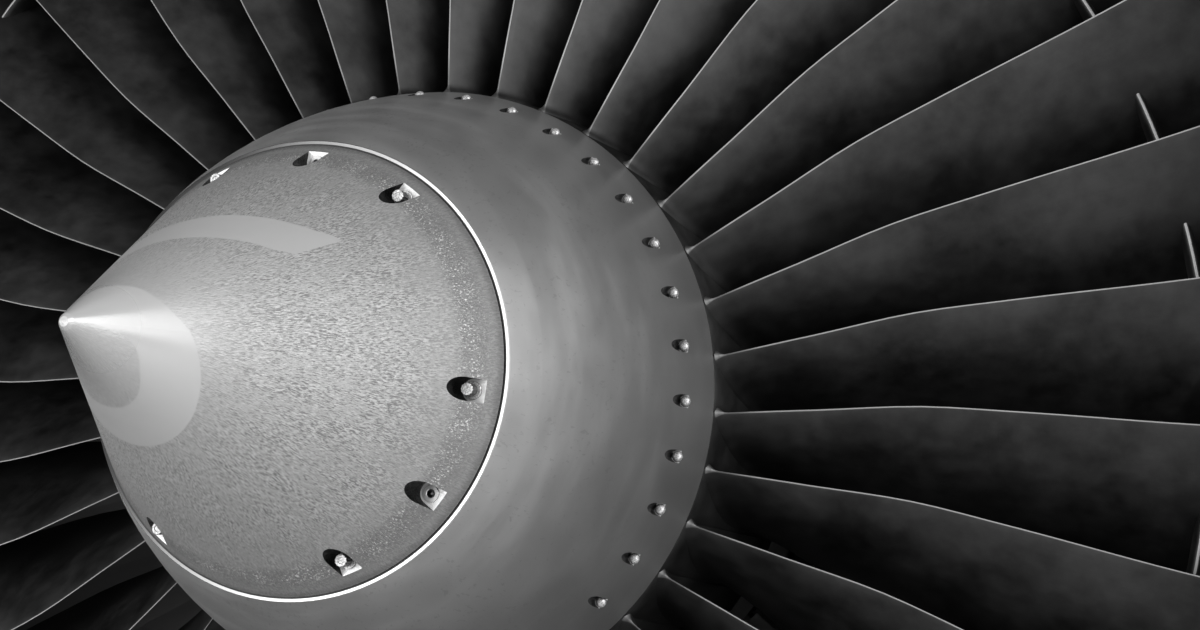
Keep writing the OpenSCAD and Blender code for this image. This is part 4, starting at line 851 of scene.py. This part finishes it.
def wing_rings():
    across, station = section(SHROUD_R)
    half_len = (np.interp(WING_TO, shares, station[:HALF_POINTS + 1])
                - np.interp(WING_FROM, shares, station[:HALF_POINTS + 1])) / 2
    rings, uv = [], []
    turned = math.tau * np.arange(WING_POINTS) / WING_POINTS
    reach = SHROUD_R * HALF_PITCH - BLADE_GAP / 2
    for share in (-1, -0.97, -0.6, -0.3, 0, 0.3, 0.6, 0.97, 1):
        edge = 0.6 if abs(share) == 1 else 0.0
        length = half_len * (0.9 + 0.1 * (1 - abs(share))) - edge
        body = np.cos(turned)
        station = STACK_Y - length * np.sign(body) * np.abs(body) ** 0.8
        lift = (SHROUD_T / 2 - edge) * np.sign(np.sin(turned)) * np.abs(np.sin(turned)) ** 0.9
        radius = SHROUD_R + lift
        rings.append(wrapped(share * reach * radius / SHROUD_R, station, radius))
        chord_share = np.clip((station - STACK_Y + length) / (2 * length), 0.0, 1.0) * 0.5
        uv.append(np.stack([chord_share, np.full(WING_POINTS, 0.6)], axis=-1))
    return rings, uv


blade.skin(*wing_rings())
print("points with the wings:", blade.total)

# %% [markdown]
# Under the foil come the platform, the shank and the dovetail. They hide in the disk and could be left out,
# but the piece stands for the whole CAD blade, so they are there. The platform's top follows the slope of the
# flow path, and its chamfers catch the thin lines of light between the blades.

# %% Platform, shank and dovetail
CHAMFER = 0.8
DOVETAIL_Y0, DOVETAIL_Y1 = 243.0, 397.0
# Radius and half width of the foot, from its bottom up
FOOT = [(196.0, 9.0), (203.0, 13.0), (216.0, 7.5), (248.0, 9.0), (256.0, 9.0)]


def platform_rings():
    inner = np.linspace(PLATFORM_Y0 + CHAMFER, PLATFORM_Y1 - CHAMFER, 9)
    cuts = [(CHAMFER, PLATFORM_Y0)] + [(0.0, y) for y in inner] + [(CHAMFER, PLATFORM_Y1)]
    rings, uv = [], []
    for inset, station in cuts:
        top = hub_r(station) - inset
        half = (hub_r(station) * HALF_PITCH - BLADE_GAP / 2) - inset
        across = np.array([-half, -half, -half + CHAMFER, -half / 2, 0, half / 2, half - CHAMFER, half, half])
        drop = np.array([PLATFORM_T - inset, CHAMFER, 0, 0, 0, 0, 0, CHAMFER, PLATFORM_T - inset])
        rings.append(wrapped(across, np.full(9, station), top - drop))
        uv.append(np.full((9, 2), 0.5))
    return rings, uv


def foot_rings():
    rings = []
    for radius, half in FOOT:
        rings.append([(radius, DOVETAIL_Y0, half), (radius, DOVETAIL_Y0, -half),
                      (radius, DOVETAIL_Y1, -half), (radius, DOVETAIL_Y1, half)])
    return rings, np.full((len(FOOT), 4, 2), 0.5)


blade.skin(*platform_rings())
blade.skin(*foot_rings())
print("points in one whole blade:", blade.total)

# %% [markdown]
# All the blades are one node in the CAD, so they are one mesh here too. An Array modifier could turn copies
# about the shaft, but it needs an empty that is turned just right. A loop says the same in plain numbers.


# %% Build the whole fan
def face_outward(piece):
    """Turns every face of closed shells so that it looks outward."""
    work = bmesh.new()
    work.from_mesh(piece.data)
    bmesh.ops.recalc_face_normals(work, faces=work.faces)
    work.to_mesh(piece.data)
    work.free()


fan = blade.build("fan_blades_fine", BLADES)
face_outward(fan)
smooth_faces(fan, 75.0)
fan.data.materials.append(blade_metal)
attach(fan, "lp_spool")
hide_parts("fan_blades")
print("faces in the fan:", len(fan.data.polygons))

# %% [markdown]
# ## Bolts, inserts and screws
# The bolts of the front cone have tall heads with twelve points, for a socket wrench that comes straight in
# from the front. A neck joins the head to a wide washer face. The collar of a jacking insert rests on the
# floor of its pocket, and the end of a pin shows in its bore. A balance screw has a domed head that nearly
# fills its pocket. All three are turned parts, so each is a stack of round rings, and only the wrench flats
# need another outline: the larger of two hexagons at every angle, one turned by 30 degrees.

# %% Small turned parts
FLOOR_Y = 17.5
BOLT_CIRCLE, BOLT_FIRST = 146.5, 51.5
SCREW_CIRCLE, SCREW_FIRST, SCREW_Y = 246.5, 6.0, 204.0
SIDES = 48


def twelve_points(r, turn):
    """The radius at one angle of two crossed hexagons whose corners lie on a circle of radius r."""
    inner = r * math.cos(math.pi / 6)
    spans = [(turn + shift) % (math.pi / 3) - math.pi / 6 for shift in (0.0, math.pi / 6)]
    return max(inner / math.cos(span) for span in spans)


def turned_row(node, count, circle, first, rings):
    """Equal parts round the shaft. A ring is a station, a radius and whether it has twelve points."""
    part = Mesher()
    first = math.radians(first)
    solid = []
    for y, r, pointed in rings:
        ring = []
        for k in range(SIDES):
            turn = math.tau * k / SIDES
            reach = twelve_points(r, turn) if pointed else r
            x, z = circle + reach * math.cos(turn), reach * math.sin(turn)
            ring.append((x * math.cos(first) - z * math.sin(first), y,
                         x * math.sin(first) + z * math.cos(first)))
        solid.append(ring)
    part.skin(solid, np.zeros((len(solid), SIDES, 2)))
    made = part.build(node + "_fine", count)
    face_outward(made)
    smooth_faces(made, 28.0)
    made.data.materials.append(finishes[slot_of[node]])
    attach(made, "lp_spool")
    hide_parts(node)
    print(made.name, "faces:", len(made.data.polygons))


turned_row("cone_bolts", 6, BOLT_CIRCLE, BOLT_FIRST, [
    (44.0, 3.0, False), (FLOOR_Y - 0.2, 3.0, False), (FLOOR_Y - 0.2, 6.3, False), (FLOOR_Y - 1.6, 6.3, False),
    (FLOOR_Y - 1.9, 6.0, False), (FLOOR_Y - 1.9, 3.9, False), (FLOOR_Y - 3.6, 3.9, False),
    (FLOOR_Y - 3.6, 4.6, True), (FLOOR_Y - 11.8, 4.6, True), (FLOOR_Y - 12.2, 4.0, False),
    (FLOOR_Y - 12.2, 2.4, False), (FLOOR_Y - 11.6, 2.0, False)])
turned_row("jackscrew_inserts", 3, BOLT_CIRCLE, BOLT_FIRST + 30.0, [
    (29.0, 5.0, False), (FLOOR_Y, 5.0, False), (FLOOR_Y, 5.9, False), (FLOOR_Y - 0.8, 5.9, False),
    (FLOOR_Y - 1.0, 5.7, False), (FLOOR_Y - 1.0, 3.4, False), (FLOOR_Y - 0.4, 2.9, False), (25.0, 2.9, False),
    (25.0, 1.3, False), (FLOOR_Y + 2.4, 1.3, False), (FLOOR_Y + 1.8, 0.8, False)])
turned_row("balance_screws", BLADES, SCREW_CIRCLE, SCREW_FIRST, [
    (SCREW_Y + 9.0, 2.5, False), (SCREW_Y - 0.2, 2.5, False), (SCREW_Y - 0.2, 4.3, False),
    (SCREW_Y - 1.0, 4.3, False), (SCREW_Y - 2.4, 3.7, False), (SCREW_Y - 3.4, 2.6, False),
    (SCREW_Y - 3.9, 1.3, False)])

# %% [markdown]
# ## Floor and light
# The engine hangs over a plain pale floor, as on a hoist. A big soft lamp stands to the right of the spinner
# and another ahead of it on the left. A cone shows such a lamp as one bright band from its nose to its rim,
# and that band tells the eye how round and how glossy the metal is. The world fills the rest with even,
# weaker light. Metal sees a pale wall all round and a dimmer ceiling, which leaves its upper faces darker.
# An image of a real studio could do all this at once, but lamps can be moved and understood one at a time.

# %% Floor
FLOOR_DROP = 0.12
FLOOR_HALF = 12.0
bpy.ops.mesh.primitive_plane_add(size=2 * FLOOR_HALF, location=(0.0, 0.6, cad_low.z - FLOOR_DROP))
floor = bpy.context.object
floor.name = "floor"
floor_paint, g, shader = start_finish("pale floor", 0.0, 0.6)
colour = g.mix(g.group("Mottle", "Value", Scale=0.8, Contrast=0.6), grey(0.78), grey(0.85))
connect(g, shader, Base_Color=colour)
floor.data.materials.append(floor_paint)
print("floor at z =", round(floor.location.z, 3))


# %% Lamps
def soft_lamp(name, at, toward, width, height, watts):
    """A rectangular lamp that faces a point. Places and sizes are in metres."""
    data = bpy.data.lights.new(name, "AREA")
    data.shape = "RECTANGLE"
    data.size, data.size_y, data.energy = width, height, watts
    lamp = bpy.data.objects.new(name, data)
    lamp.location = at
    lamp.rotation_euler = (Vector(toward) - Vector(at)).to_track_quat("-Z", "Y").to_euler()
    bpy.context.scene.collection.objects.link(lamp)
    print(name, "gives", watts, "W")


soft_lamp("right lamp", (2.2, -1.4, 0.65), (0.0, 0.0, 0.0), 1.8, 2.4, 58.0)
soft_lamp("left lamp", (-2.0, -3.0, 0.2), (0.0, 0.1, 0.0), 2.2, 2.2, 50.0)

# %% World
WORLD_LEVEL = 0.5
# What the camera and metal see on top of that, at the horizon and overhead
WALL_MORE, CEILING_MORE = 0.43, -0.15
world = bpy.data.worlds.new("studio")
bpy.context.scene.world = world
world.use_nodes = True
g = Graph(world.node_tree)
shown = next(n for n in world.node_tree.nodes if n.type == "BACKGROUND")
path = g.add("ShaderNodeLightPath").node
seen = g.math("MAXIMUM", path.outputs["Is Camera Ray"], path.outputs["Is Transmission Ray"])
seen = g.math("MAXIMUM", seen, path.outputs["Is Glossy Ray"])
direction = g.add("ShaderNodeTexCoord", out=0)
height = g.add("ShaderNodeSeparateXYZ", {"Vector": direction}, out=2)
pale = g.smooth(height, 0.0, 0.6, WALL_MORE, CEILING_MORE)
level = g.math("MULTIPLY_ADD", seen, pale, WORLD_LEVEL)
g.tree.links.new(level, shown.inputs["Strength"])
shown.inputs["Color"].default_value = grey(1.0)
print("world strength:", WORLD_LEVEL)
